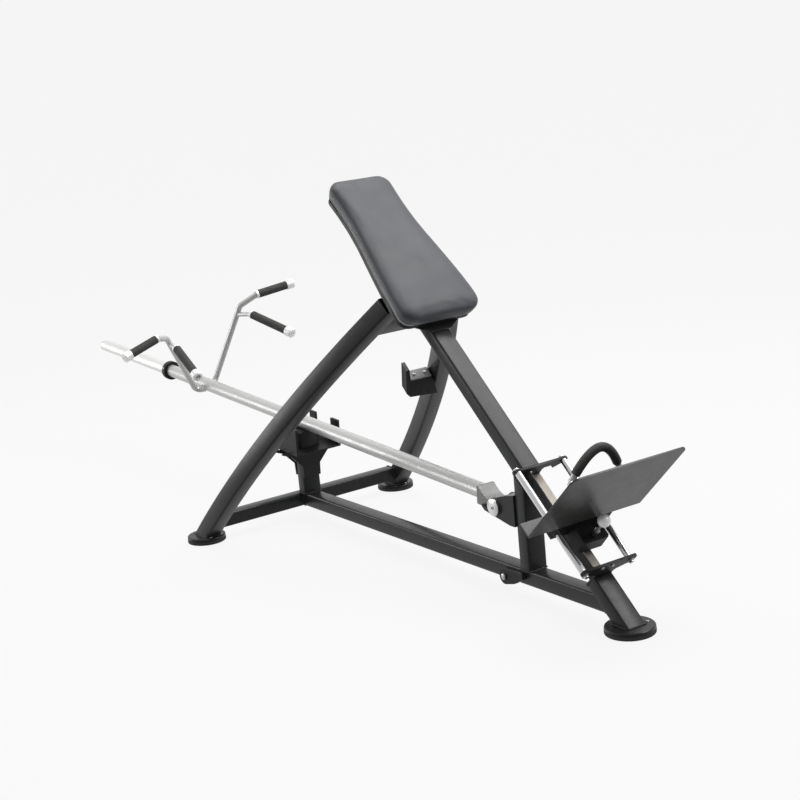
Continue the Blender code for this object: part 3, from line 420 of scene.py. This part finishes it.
def resample(pts, step, closed=False):
    pts = list(pts) + ([pts[0]] if closed else [])
    out, carry = [pts[0].copy()], 0.0
    for a, c in zip(pts, pts[1:]):
        L = (c - a).length
        t = step - carry
        while t < L:
            out.append(a.lerp(c, t / L))
            t += step
        carry = (carry + L) % step if L else carry
    if not closed:
        out.append(pts[-1].copy())
    elif (out[-1] - out[0]).length < step * 0.5:
        out.pop()
    return out


def weld(name, pts, body, mat, r=0.0024, closed=True, seed=1):
    """Weld bead: a rippled tube laid in the corner between two pieces."""
    rnd = random.Random(seed)
    path = resample([Vector(p) for p in pts], 0.0012, closed)
    ph = rnd.random() * 6
    bm = bmesh.new()
    sweep(bm, path, lambda i, d: r * (1 + 0.13 * math.sin(d / 0.0026 * math.pi + ph) + 0.05 * math.sin(d / 0.021 + ph)), 8, closed)
    return piece(name, bm, mat, body, sharp=80)


def hex_bolt(bm, at, axis, af=0.013, h=0.0055, washer=0.0095):
    """Flanged hexagon head with a chamfered top."""
    axis = axis.normalized()
    lathe(bm, at, axis, [(0, 0), (0, washer), (0.0011, washer), (0.0014, washer * 0.93), (0.0014, 0)], 28)
    ref = SZ if abs(axis.z) < 0.9 else SX
    e1 = (ref - axis * ref.dot(axis)).normalized()
    e2 = axis.cross(e1)
    R = af / 2 / math.cos(math.radians(30))
    levels = [(0.0014, R), (h - 0.0008, R), (h, R * 0.88)]
    rings = [[bm.verts.new(at + axis * hh + (e1 * math.cos(math.radians(60 * k)) + e2 * math.sin(math.radians(60 * k))) * rr) for k in range(6)] for hh, rr in levels]
    for a, c in zip(rings, rings[1:]):
        for i in range(6):
            bm.faces.new((a[i], a[(i + 1) % 6], c[(i + 1) % 6], c[i]))
    bm.faces.new(rings[0])
    bm.faces.new(rings[-1])


def cap_screw(bm, at, axis, r=0.0048, h=0.0026):
    """Low domed head with a sunk round socket."""
    s = r * 0.45
    lathe(bm, at, axis, [(0, 0), (0, r), (h * 0.4, r), (h * 0.85, r * 0.82), (h, r * 0.55), (h, s), (h * 0.35, s * 0.92), (h * 0.35, 0)], 24)


# ---------------------------------------------------------------- chest pad: sewn, stuffed cover
PAD_S0, PAD_S1, PAD_BASE = 1.137, 1.709, 0.0179
PAD_L = PAD_S1 - PAD_S0
PROFILE = ((0.000, 0.1400), (0.06, 0.1425), (0.13, 0.138), (0.20, 0.1305), (0.27, 0.1215), (0.34, 0.1125), (0.41, 0.1075), (0.48, 0.1075), (0.572, 0.1105))


def smooth_half(t):
    """Half width of the pad, eased between the profile's stations."""
    t = min(max(t, 0.0), PAD_L)
    for i in range(len(PROFILE) - 1):
        (a, wa), (c, wc) = PROFILE[i], PROFILE[i + 1]
        if t <= c:
            k = (t - a) / (c - a)
            pa = PROFILE[max(i - 1, 0)]
            pc = PROFILE[min(i + 2, len(PROFILE) - 1)]
            ma = (wc - pa[1]) / max(c - pa[0], 1e-6) * (c - a)
            mc = (pc[1] - wa) / max(pc[0] - a, 1e-6) * (c - a)
            return (2 * k ** 3 - 3 * k ** 2 + 1) * wa + (k ** 3 - 2 * k ** 2 + k) * ma + (3 * k ** 2 - 2 * k ** 3) * wc + (k ** 3 - k ** 2) * mc
    return PROFILE[-1][1]


def pad_outline(shrink=0.0, rc=0.042, step=0.008):
    """Closed outline in (x, t), anticlockwise, evenly spaced."""
    right = []
    w = smooth_half(0.03)
    right += [(w - rc + rc * math.cos(math.radians(-90 + 9 * i)), rc + rc * math.sin(math.radians(-90 + 9 * i))) for i in range(11)]
    t = rc + step
    while t < PAD_L - rc - step / 2:
        right.append((smooth_half(t), t))
        t += step
    w = smooth_half(PAD_L - 0.02)
    right += [(w - rc + rc * math.cos(math.radians(9 * i)), PAD_L - rc + rc * math.sin(math.radians(9 * i))) for i in range(11)]
    pts = right + [(-x, y) for x, y in reversed(right)]
    out = []
    n = len(pts)
    for i in range(n):
        a, c = Vector(pts[i - 1]), Vector(pts[(i + 1) % n])
        d = c - a
        nr = Vector((d.y, -d.x))
        nr = nr.normalized() if nr.length > 1e-9 else Vector((0, 0))
        out.append(Vector(pts[i]) - nr * shrink)
    return out


def to_pad(p):
    """World point to pad coordinates (x, t, n)."""
    q = p - sp(PAD_S0, 0)
    return Vector((q.x, q.dot(SU), q.dot(SN)))


def build_pad():
    # start shape, a little smaller than the finished pad; crown grows towards the middle
    bm = bmesh.new()
    levels = [(0.008, 0.0), (0.003, 0.004), (0.000, 0.016), (-0.0055, 0.036), (-0.0055, 0.0435), (-0.0015, 0.0500), (0.008, 0.0550), (0.028, 0.0590), (0.058, 0.0610)]
    rings = [[bm.verts.new(sp(PAD_S0 + p.y, PAD_BASE + n, p.x)) for p in pad_outline(sh)] for sh, n in levels]
    k = len(rings[0])
    for a, c in zip(rings, rings[1:]):
        for i in range(k):
            bm.faces.new((a[i], a[(i + 1) % k], c[(i + 1) % k], c[i]))
    bm.faces.new(rings[0][::-1])
    bm.faces.new(rings[-1])
    bmesh.ops.recalc_face_normals(bm, faces=bm.faces)
    me = bpy.data.meshes.new("chest_pad_cover")
    bm.to_mesh(me)
    bm.free()
    ob = bpy.data.objects.new("chest_pad_cover", me)
    COL.objects.link(ob)
    rm = ob.modifiers.new("remesh", "REMESH")
    rm.mode = "VOXEL"
    rm.voxel_size = 0.0055
    dg = bpy.context.evaluated_depsgraph_get()
    start = bpy.data.meshes.new_from_object(ob.evaluated_get(dg))
    ob.modifiers.clear()
    ob.data = start
    # even out the voxel steps before the cover is inflated
    bm = bmesh.new()
    bm.from_mesh(start)
    for _ in range(4):
        bmesh.ops.smooth_vert(bm, verts=bm.verts, factor=0.5, use_axis_x=True, use_axis_y=True, use_axis_z=True)
    bm.to_mesh(start)
    bm.free()
    rest = [v.co.copy() for v in start.vertices]
    pin = ob.vertex_groups.new(name="pin")
    for v in start.vertices:
        h = to_pad(v.co).z - PAD_BASE
        if h < 0.006:
            pin.add([v.index], 1.0, "REPLACE")
        elif h < 0.014:
            pin.add([v.index], (0.014 - h) / 0.008 * 0.6, "REPLACE")
    cl = ob.modifiers.new("cloth", "CLOTH")
    st = cl.settings
    st.quality = 5
    st.mass = 0.35
    st.tension_stiffness = st.compression_stiffness = 40
    st.shear_stiffness = 8
    st.bending_stiffness = 3.0
    st.tension_damping = st.compression_damping = 12
    st.use_pressure = True
    st.uniform_pressure_force = 4.0
    st.effector_weights.gravity = 0.0
    st.vertex_group_mass = "pin"
    cl.collision_settings.use_collision = False
    cl.collision_settings.use_self_collision = False
    cl.point_cache.frame_start = 1
    cl.point_cache.frame_end = 20
    for f in range(1, 21):
        SCN.frame_set(f)
    dg = bpy.context.evaluated_depsgraph_get()
    done = bpy.data.meshes.new_from_object(ob.evaluated_get(dg))
    ob.modifiers.clear()
    ob.data = done
    SCN.frame_set(1)
    me = ob.data
    # cap the swelling, keep the underside flat and the whole in its space
    cap = 0.0022
    bm = bmesh.new()
    bm.from_mesh(me)
    bm.verts.ensure_lookup_table()
    for v in bm.verts:
        d = v.co - rest[v.index]
        if d.length > cap:
            v.co = rest[v.index] + d.normalized() * cap
    for _ in range(6):
        bmesh.ops.smooth_vert(bm, verts=bm.verts, factor=0.5, use_axis_x=True, use_axis_y=True, use_axis_z=True)
    seam_n = 0.0385
    for v in bm.verts:
        q = to_pad(v.co)
        h = q.z - PAD_BASE
        # sewn seam pulls the cover in along the side, dropping under at the lower end
        drop = seam_height(q.y, q.x)
        if abs(q.x) > smooth_half(q.y) - 0.014 or q.y < 0.02 or q.y > PAD_L - 0.02:
            g = math.exp(-((h - drop) / 0.0036) ** 2)
            inward = Vector((-math.copysign(1, q.x), 0, 0))
            if q.y > PAD_L - 0.03:
                inward = (inward * 0.4 - SU).normalized()
            if q.y < 0.03:
                inward = (inward * 0.4 + SU).normalized()
            v.co += (inward * 0.8 - SN * 0.3) * (0.0022 * g)
        if h < 0.0006:
            v.co += SN * (0.0006 - h)
    bmesh.ops.recalc_face_normals(bm, faces=bm.faces)
    for f in bm.faces:
        f.smooth = True
    bm.to_mesh(me)
    bm.free()
    sd = ob.modifiers.new("subdivision", "SUBSURF")
    sd.levels = sd.render_levels = 1
    me.materials.clear()
    me.materials.append(M["vinyl"])
    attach(ob, "frame")
    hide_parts("chest_pad")
    return ob


def seam_height(t, x):
    """Height of the sewn seam above the pad's underside, along the pad."""
    if t > 0.085:
        return 0.0255
    k = max(t, 0.0) / 0.085
    return 0.004 + 0.0215 * (k * k * (3 - 2 * k))


pad = build_pad()
dg = bpy.context.evaluated_depsgraph_get()
pad_eval = pad.evaluated_get(dg)
pad_tree = BVHTree.FromObject(pad_eval, dg)


def on_pad(x, t, h, off):
    """Point on the cover at a height, met from outside, raised by off."""
    target = sp(PAD_S0 + t, PAD_BASE + h, x)
    cx = max(-0.055, min(0.055, x))
    ct = max(0.07, min(PAD_L - 0.07, t))
    core = sp(PAD_S0 + ct, PAD_BASE + h, cx)
    d = target - core
    d = d.normalized()
    hit, nrm, _, _ = pad_tree.ray_cast(target + d * 0.05, -d, 0.15)
    if hit is None:
        hit, nrm, _, _ = pad_tree.find_nearest(target)
        return hit + nrm * off
    return hit + d * off


def seam_path(dh, off):
    """From the lower left corner up the left side, round the top, down the right side."""
    ol = pad_outline(0.0)
    n = len(ol)
    pts = sorted(range(n), key=lambda i: (abs(ol[i].x) < 0.10 and ol[i].y < 0.02))
    ring = [ol[i] for i in range(n)]
    start = min(range(n), key=lambda i: (ring[i] - Vector((0.088, 0.0))).length)
    ring = ring[start:] + ring[:start]
    ring = [p for p in ring if not (p.y < 0.012 and abs(p.x) < 0.086)]
    return [on_pad(p.x, p.y, max(0.0032, seam_height(p.y, p.x) + dh), off) for p in ring]


bm = bmesh.new()
path = resample(seam_path(0.0, -0.0004), 0.004)
sweep(bm, path, 0.0023, 8)
pip = piece("chest_pad_piping", bm, "piping_painted_highlight", "frame", sharp=80)
# two light stitch rows above and below the piping; their thread colour is a painted highlight
bm = bmesh.new()
step = 6
for dh in (0.0050, -0.0046):
    path = resample(seam_path(dh, 0.0004), 0.0008)
    for i in range(0, len(path) - step, step):
        seg = path[i:i + step - 1]
        sweep(bm, seg, lambda j, d: 0.00085 * (0.70 + 0.30 * math.sin(math.pi * min(1.0, j / (len(seg) - 1)))), 6)
st = piece("chest_pad_stitching", bm, "thread_painted_highlight", "frame", sharp=80)

# pad fixings under the board
bm = bmesh.new()
for t, x in ((1.190, -0.085), (1.190, 0.085), (1.310, -0.085), (1.310, 0.085)):
    hex_bolt(bm, sp(t, -0.0002, x), -SN, 0.013, 0.0058, 0.0100)
piece("pad_fixing_bolts", bm, "steel", "frame")

# ---------------------------------------------------------------- grips
ARM_R, GRIP_R = 0.0110, 0.0155
CAP_0, CAP_1 = -0.0055, 0.0035                   # where the end caps start, from the grip line ends
collars = bmesh.new()
insets = bmesh.new()


def grip(name, a, d, L, ri, node, body="bar_and_handles"):
    """Foam grip: rounded ends, fine turned grooves."""
    pts = [(0.0, ri), (0.0, GRIP_R - 0.0016), (0.0008, GRIP_R - 0.0005), (0.0022, GRIP_R)]
    h = 0.006
    while h < L - 0.006:
        pts += [(h, GRIP_R), (h + 0.0006, GRIP_R - 0.00045), (h + 0.0012, GRIP_R)]
        h += 0.0042
    pts += [(L - 0.0022, GRIP_R), (L - 0.0008, GRIP_R - 0.0005), (L, GRIP_R - 0.0016), (L, ri)]
    bm = bmesh.new()
    tube_ring(bm, a, d, pts, 28)
    ob = piece(name, bm, "grip", body, sharp=50)
    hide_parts(node)
    return ob


for tag, side in (("left", -1), ("right", 1)):
    o0, o1 = hb(side * 0.219, 1.6577, 0.318), hb(side * 0.346, 1.640, 0.310)
    od = (o1 - o0).normalized()
    grip(tag + "_outer_grip_foam", o0 + od * 0.006, od, (o1 - o0).length - 0.0125, ARM_R + GAP, tag + "_outer_grip")
    n0, n1 = hb(side * 0.165, 1.640, 0.262), hb(side * 0.199, 1.463, 0.211)
    nd = (n1 - n0).normalized()
    grip(tag + "_inner_grip_foam", n0 + nd * 0.010, nd, (n1 - n0).length - 0.0075, 0.0085 + GAP, tag + "_inner_grip")
    for at, d, ri in ((o0 + od * 0.0055, od, ARM_R), (n0 + nd * 0.0095, nd, 0.0085)):
        tube_ring(collars, at - d * 0.0090, d, [(0, ri + 0.0004), (0, 0.0148), (0.0012, 0.0160), (0.0078, 0.0160), (0.0088, 0.0152), (0.0088, ri + 0.0004)], 28)
    cap_screw(insets, o1 + od * (CAP_0 + 0.0298), od, 0.0090, 0.0010)
    cap_screw(insets, n1 + nd * (CAP_1 + 0.0298), nd, 0.0090, 0.0010)
    # where the arm is welded to the bar and the branch to the arm
    foot = hb(side * (0.0242 + 0.0006), 1.838, -0.008)
    radial = (foot - (BAX + BARV * 1.838)).normalized()
    e2 = radial.cross(BARV).normalized()
    ring = [foot + (BARV * math.cos(2 * math.pi * i / 24) + e2 * math.sin(2 * math.pi * i / 24)) * (ARM_R + 0.0007) for i in range(24)]
    weld(tag + "_arm_weld", ring, "bar_and_handles", "silver", 0.0021, True, 5 + side)
    arm1, arm2 = hb(side * 0.040, 1.872, -0.020), hb(side * 0.162, 1.7076, 0.2865)
    ad = (arm2 - arm1).normalized()
    on_arm = arm1.lerp(arm2, 0.89)
    rad = (n0 - on_arm) - ad * (n0 - on_arm).dot(ad)
    rad.normalize()
    bd = (n0 - on_arm).normalized()
    c = on_plane(on_arm, bd, on_arm + rad * (ARM_R - 0.001), rad)
    e1 = ad
    e3 = rad.cross(ad).normalized()
    ring = [c + (e1 * math.cos(2 * math.pi * i / 20) * 0.0098 + e3 * math.sin(2 * math.pi * i / 20) * 0.0088) for i in range(20)]
    weld(tag + "_branch_weld", ring, "bar_and_handles", "silver", 0.0017, True, 9 + side)

piece("grip_collars", collars, "knob", "bar_and_handles")
piece("grip_cap_screws", insets, "alu", "bar_and_handles")

# ---------------------------------------------------------------- adjusting handle: sleeve and its collars
BOW_X, BOW_S, BOW_N, BOW_RISE = 0.087, 0.406, 0.208, 0.077
arch = []
for i in range(49):
    t = -1 + 2 * i / 48
    k = 1 - abs(t) ** 1.95
    arch.append(sp(BOW_S + 0.037 * k, BOW_N + BOW_RISE * k, BOW_X * t))
body_path = arch[3:-3]
L = sum((c - a).length for a, c in zip(body_path, body_path[1:]))


def sleeve_r(i, d):
    e = min(d, L - d)
    r = 0.0132 if e > 0.003 else 0.0118 + 0.0014 * math.sqrt(max(e, 0) / 0.003)
    return r - (0.00035 if (d % 0.0052) < 0.0012 else 0.0)


bm = bmesh.new()
sweep(bm, resample(body_path, 0.0008), sleeve_r, 20)
ob = piece("adjusting_handle_foam", bm, "grip", "carriage", sharp=60)
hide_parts("adjusting_handle_sleeve")
bm = bmesh.new()
for side in (-1, 1):
    top = sp(BOW_S, BOW_N, side * BOW_X)
    d = (SU * 0.9 + SN * 0.25).normalized()
    tube_ring(bm, top - d * 0.0010, -d, [(0, 0.0098), (0, 0.0126), (0.001, 0.0134), (0.0075, 0.0134), (0.0085, 0.0126), (0.0085, 0.0098)], 28)
piece("adjusting_handle_collars", bm, "alu", "carriage")
bm = bmesh.new()
FL = math.radians(3.2)
FN = SN * math.cos(FL) - SU * math.sin(FL)
FT = SU * math.cos(FL) + SN * math.sin(FL)
foot0 = sp(0.350, 0.065)
for side in (-1, 1):
    top = sp(BOW_S, BOW_N, side * BOW_X)
    d = (SU * 0.9 + SN * 0.25).normalized()
    at = on_plane(top, d, foot0 + FT * 0.0053, FT)
    tube_ring(bm, at, FT, [(0, 0.0104), (0, 0.0150), (0.0022, 0.0150), (0.0034, 0.0136), (0.0034, 0.0104)], 28)
piece("adjusting_handle_flanges", bm, "black", "carriage")

# ---------------------------------------------------------------- small fasteners
bm = bmesh.new()
for x, n in ((-0.027, 0.047), (0.009, 0.047)):
    hex_bolt(bm, sp(0.2078, n, x), -SU, 0.0080, 0.0042, 0.0058)
piece("rod_plate_bolts", bm, "steel", "frame")
bm = bmesh.new()
for s, d in ((0.2080, -1), (0.5731, 1)):
    for side in (-1, 1):
        tube_ring(bm, sp(s, 0.035, side * 0.083), SU * d, [(0, 0.0081), (0, 0.0116), (0.0012, 0.0116), (0.0016, 0.0110), (0.0016, 0.0081)], 28)
piece("guide_rod_washers", bm, "steel", "frame")
bm = bmesh.new()
for x, y in ((0.046, -0.020), (0.046, 0.020)):
    cap_screw(bm, Vector((x, y, 0.0223)), SZ, 0.0058, 0.0034)
for side in (-1, 1):
    for dy in (-0.052,):
        cap_screw(bm, Vector((side * FOOT_HALF + side * 0.010, 0.008 + Y0 + dy, 0.0223)), SZ, 0.0050, 0.0030)
piece("foot_disc_screws", bm, "steel", "frame")
cm = 0.758
cc = leg_axis(cm, 1) - SX * (LEG_W / 2 + 3 * GAP)
bm = bmesh.new()
for x in (0.026, 0.070):
    cap_screw(bm, cc + Vector((-x, 0, 0.0094)), SZ, 0.0066, 0.0042)
piece("bar_catch_screws", bm, "knob", "frame")
bm = bmesh.new()
for side in (-1, 1):
    cap_screw(bm, PIV + SX * side * (0.0385 + 0.0098 if side > 0 else 0.0385 + 0.0094), SX * side, 0.0060, 0.0022)
piece("pivot_pin_screws", bm, "steel", "frame")
# set screws of the plate stop collar and of the bar
bm = bmesh.new()
for ang in (35, 155, 275):
    a = math.radians(ang)
    d = (SX * math.cos(a) + BN * math.sin(a))
    cap_screw(bm, BAX + BARV * 2.150 + d * 0.0368, d, 0.0034, 0.0009)
piece("stop_collar_screws", bm, "steel", "bar_and_handles")

# ---------------------------------------------------------------- welds of the frame
def plane_loop(c, w, h, ax, ay, d, pt, nrm, grow=0.0006, r=0.006):
    return [on_plane(c + ax * p[0] + ay * p[1], d, pt, nrm) for p in rrect(w + 2 * grow, h + 2 * grow, r + grow, 5)]


SY = Vector((0, 1, 0))
UPY, POSTY = -1.298 + Y0, -0.0476 + Y0
weld("weld_upright_foot", plane_loop(Vector((0, UPY, 0.1)), 0.067, 0.046, SX, SY, SZ, Vector((0, 0, 0.0915)), SZ), "frame", "frame", 0.0024, True, 11)
weld("weld_post_foot", plane_loop(Vector((0, POSTY, 0.1)), 0.067, 0.044, SX, SY, SZ, Vector((0, 0, 0.0915)), SZ), "frame", "frame", 0.0024, True, 12)
weld("weld_upright_top", plane_loop(Vector((0, UPY, 0.3)), 0.067, 0.046, SX, SY, SZ, sp(0, -0.0458), SN), "frame", "frame", 0.0024, True, 13)
weld("weld_base_rear", plane_loop(Vector((0, 0.2, 0.091 - 0.0235)), 0.057, 0.047, SX, SZ, SY, sp(0, -0.0458), SN), "frame", "frame", 0.0024, True, 14)
weld("weld_base_front", plane_loop(Vector((0, 1.6, 0.091 - 0.0235)), 0.057, 0.047, SX, SZ, SY, Vector((0, -0.021 - 0.024 + Y0 - 0.0005, 0)), SY), "frame", "frame", 0.0024, True, 15)
weld("weld_spine_foot", plane_loop(sp(0.05, -0.0225), 0.067, 0.045, SX, SN, SU, Vector((0, 0, Z0 + 0.0006)), SZ), "frame", "frame", 0.0026, True, 16)
for tag, side in (("left", -1), ("right", 1)):
    c, t = leg_axis(0.03, side), leg_tangent(0.03, side)
    e = LF.cross(t).normalized()
    weld("weld_%s_leg_foot" % tag, plane_loop(c, LEG_W, LEG_D, e, LF, t, Vector((0, 0, Z0 + 0.0006)), SZ, 0.0006, 0.007), "frame", "frame", 0.0026, True, 17 + side)
    zc, yc = 0.091 - 0.0235, -0.021 + Y0
    mm = zc * math.cos(LN) + (LEG_Y + Y0 - yc) * math.sin(LN)
    c, t = leg_axis(mm, side), leg_tangent(mm, side)
    e = LF.cross(t).normalized()
    if e.x * side < 0:
        e = -e
    weld("weld_%s_cross" % tag, plane_loop(Vector((0, yc, zc)), 0.048, 0.047, SY, SZ, SX, c - e * (LEG_W / 2 + 0.0008), e), "frame", "frame", 0.0022, True, 21 + side)

# ---------------------------------------------------------------- stage, light, camera
SCN.view_settings.view_transform = "Standard"
SCN.view_settings.look = "None"
bm = bmesh.new()
R = 14.0
prof = [(-9.0, 0.0), (9.0, 0.0)]
rows = []
for i in range(13):
    a = math.radians(90 * i / 12)
    prof.append((9.0 + 3.0 * math.sin(a), 3.0 - 3.0 * math.cos(a)))
prof.append((12.0, 9.0))
d2 = Vector((math.sin(math.radians(33.5)), math.cos(math.radians(33.5)), 0))
e2 = Vector((d2.y, -d2.x, 0))
for u, z in prof:
    rows.append([bm.verts.new(Vector((0, 0.9, -0.0002)) + d2 * u + e2 * w + SZ * z) for w in (-R, R)])
for a, c in zip(rows, rows[1:]):
    bm.faces.new((a[0], a[1], c[1], c[0]))
me = bpy.data.meshes.new("studio_floor")
for f in bm.faces:
    f.smooth = True
bm.to_mesh(me)
bm.free()
floor = bpy.data.objects.new("studio_floor", me)
COL.objects.link(floor)
m, nt, b = nodes_of("studio_paper")
link(nt, mixed(nt, noise(nt, 3, 3), (0.044, 0.044, 0.044), (0.048, 0.048, 0.048)), b.inputs["Base Color"])
b.inputs["Roughness"].default_value = 0.95
b.inputs["Specular IOR Level"].default_value = 0.0
b.inputs["Emission Color"].default_value = (1, 1, 1, 1)
b.inputs["Emission Strength"].default_value = 0.885
me.materials.append(m)
floor.visible_glossy = False

# pale backdrop all round, for the other sides; it lights nothing
bm = bmesh.new()
rows = []
for r, z in [(8.0, -0.004)] + [(8.6 + 3.0 * math.sin(math.radians(7.5 * i)), 2.996 - 3.0 * math.cos(math.radians(7.5 * i))) for i in range(13)] + [(11.6, 9.5)]:
    rows.append([bm.verts.new((r * math.cos(2 * math.pi * j / 72), 0.9 + r * math.sin(2 * math.pi * j / 72), z)) for j in range(72)])
for a, c in zip(rows, rows[1:]):
    for j in range(72):
        bm.faces.new((a[j], a[(j + 1) % 72], c[(j + 1) % 72], c[j])).smooth = True
me = bpy.data.meshes.new("studio_backdrop")
bm.to_mesh(me)
bm.free()
ring = bpy.data.objects.new("studio_backdrop", me)
COL.objects.link(ring)
me.materials.append(m)
ring.visible_glossy = False
ring.visible_diffuse = False
ring.visible_shadow = False

world = bpy.data.worlds.new("studio")
SCN.world = world
world.use_nodes = True
nt = world.node_tree
bg = nt.nodes["Background"]
tc = nt.nodes.new("ShaderNodeTexCoord")
dp = nt.nodes.new("ShaderNodeVectorMath")
dp.operation = "DOT_PRODUCT"
dp.inputs[1].default_value = (d2.x * 0.92, d2.y * 0.92, 0.40)
nt.links.new(tc.outputs["Generated"], dp.inputs[0])
mr = nt.nodes.new("ShaderNodeMapRange")
mr.inputs["From Min"].default_value = -1.0
mr.inputs["From Max"].default_value = 1.0
nt.links.new(dp.outputs["Value"], mr.inputs["Value"])
cr = nt.nodes.new("ShaderNodeValToRGB")
cr.color_ramp.elements[0].position = 0.0
cr.color_ramp.elements[0].color = (0.12, 0.12, 0.12, 1)
cr.color_ramp.elements[1].position = 1.0
cr.color_ramp.elements[1].color = (0.95, 0.95, 0.95, 1)
mid = cr.color_ramp.elements.new(0.62)
mid.color = (0.80, 0.80, 0.80, 1)
nt.links.new(mr.outputs["Result"], cr.inputs[0])
nt.links.new(cr.outputs[0], bg.inputs["Color"])
bg.inputs["Strength"].default_value = 0.9


def area(name, loc, target, size, power, size_y=None):
    ld = bpy.data.lights.new(name, "AREA")
    ld.shape = "RECTANGLE"
    ld.size = size
    ld.size_y = size_y or size
    ld.energy = power
    lo = bpy.data.objects.new(name, ld)
    COL.objects.link(lo)
    lo.location = loc
    lo.rotation_mode = "QUATERNION"
    lo.rotation_quaternion = (Vector(target) - Vector(loc)).to_track_quat("-Z", "Y")
    return lo


area("softbox_top", (0.6, 1.4, 4.4), (0, 1.3, 0.4), 3.2, 130, 2.4)
area("softbox_high", (2.3, -0.1, 4.0), (0, 0.6, 0.5), 2.6, 85, 2.6)
area("softbox_left", (-3.4, 5.2, 1.1), (-0.2, 1.2, 0.5), 2.6, 62, 1.9)
area("softbox_back", (2.6, -2.4, 4.0), (0, 1.0, 0.6), 2.0, 60, 2.0)

cam_data = bpy.data.cameras.new("photo_view")
cam = bpy.data.objects.new("photo_view", cam_data)
COL.objects.link(cam)
cam_data.sensor_width = 36.0
cam_data.lens = 72.0
cam_data.clip_end = 60
al, el, rl = math.radians(33.51), math.radians(12.94), math.radians(5.45)
dd = Vector((math.sin(al) * math.cos(el), math.cos(al) * math.cos(el), -math.sin(el)))
rr = Vector((math.cos(al), -math.sin(al), 0))
uu = rr.cross(dd)
rc = rr * math.cos(rl) - uu * math.sin(rl)
uc = rr * math.sin(rl) + uu * math.cos(rl)
mat = Matrix((rc, uc, -dd)).transposed().to_4x4()
mat.translation = Vector((-2.7346, -4.8078 + Y0, 1.6491))
cam.matrix_world = mat
SCN.camera = cam
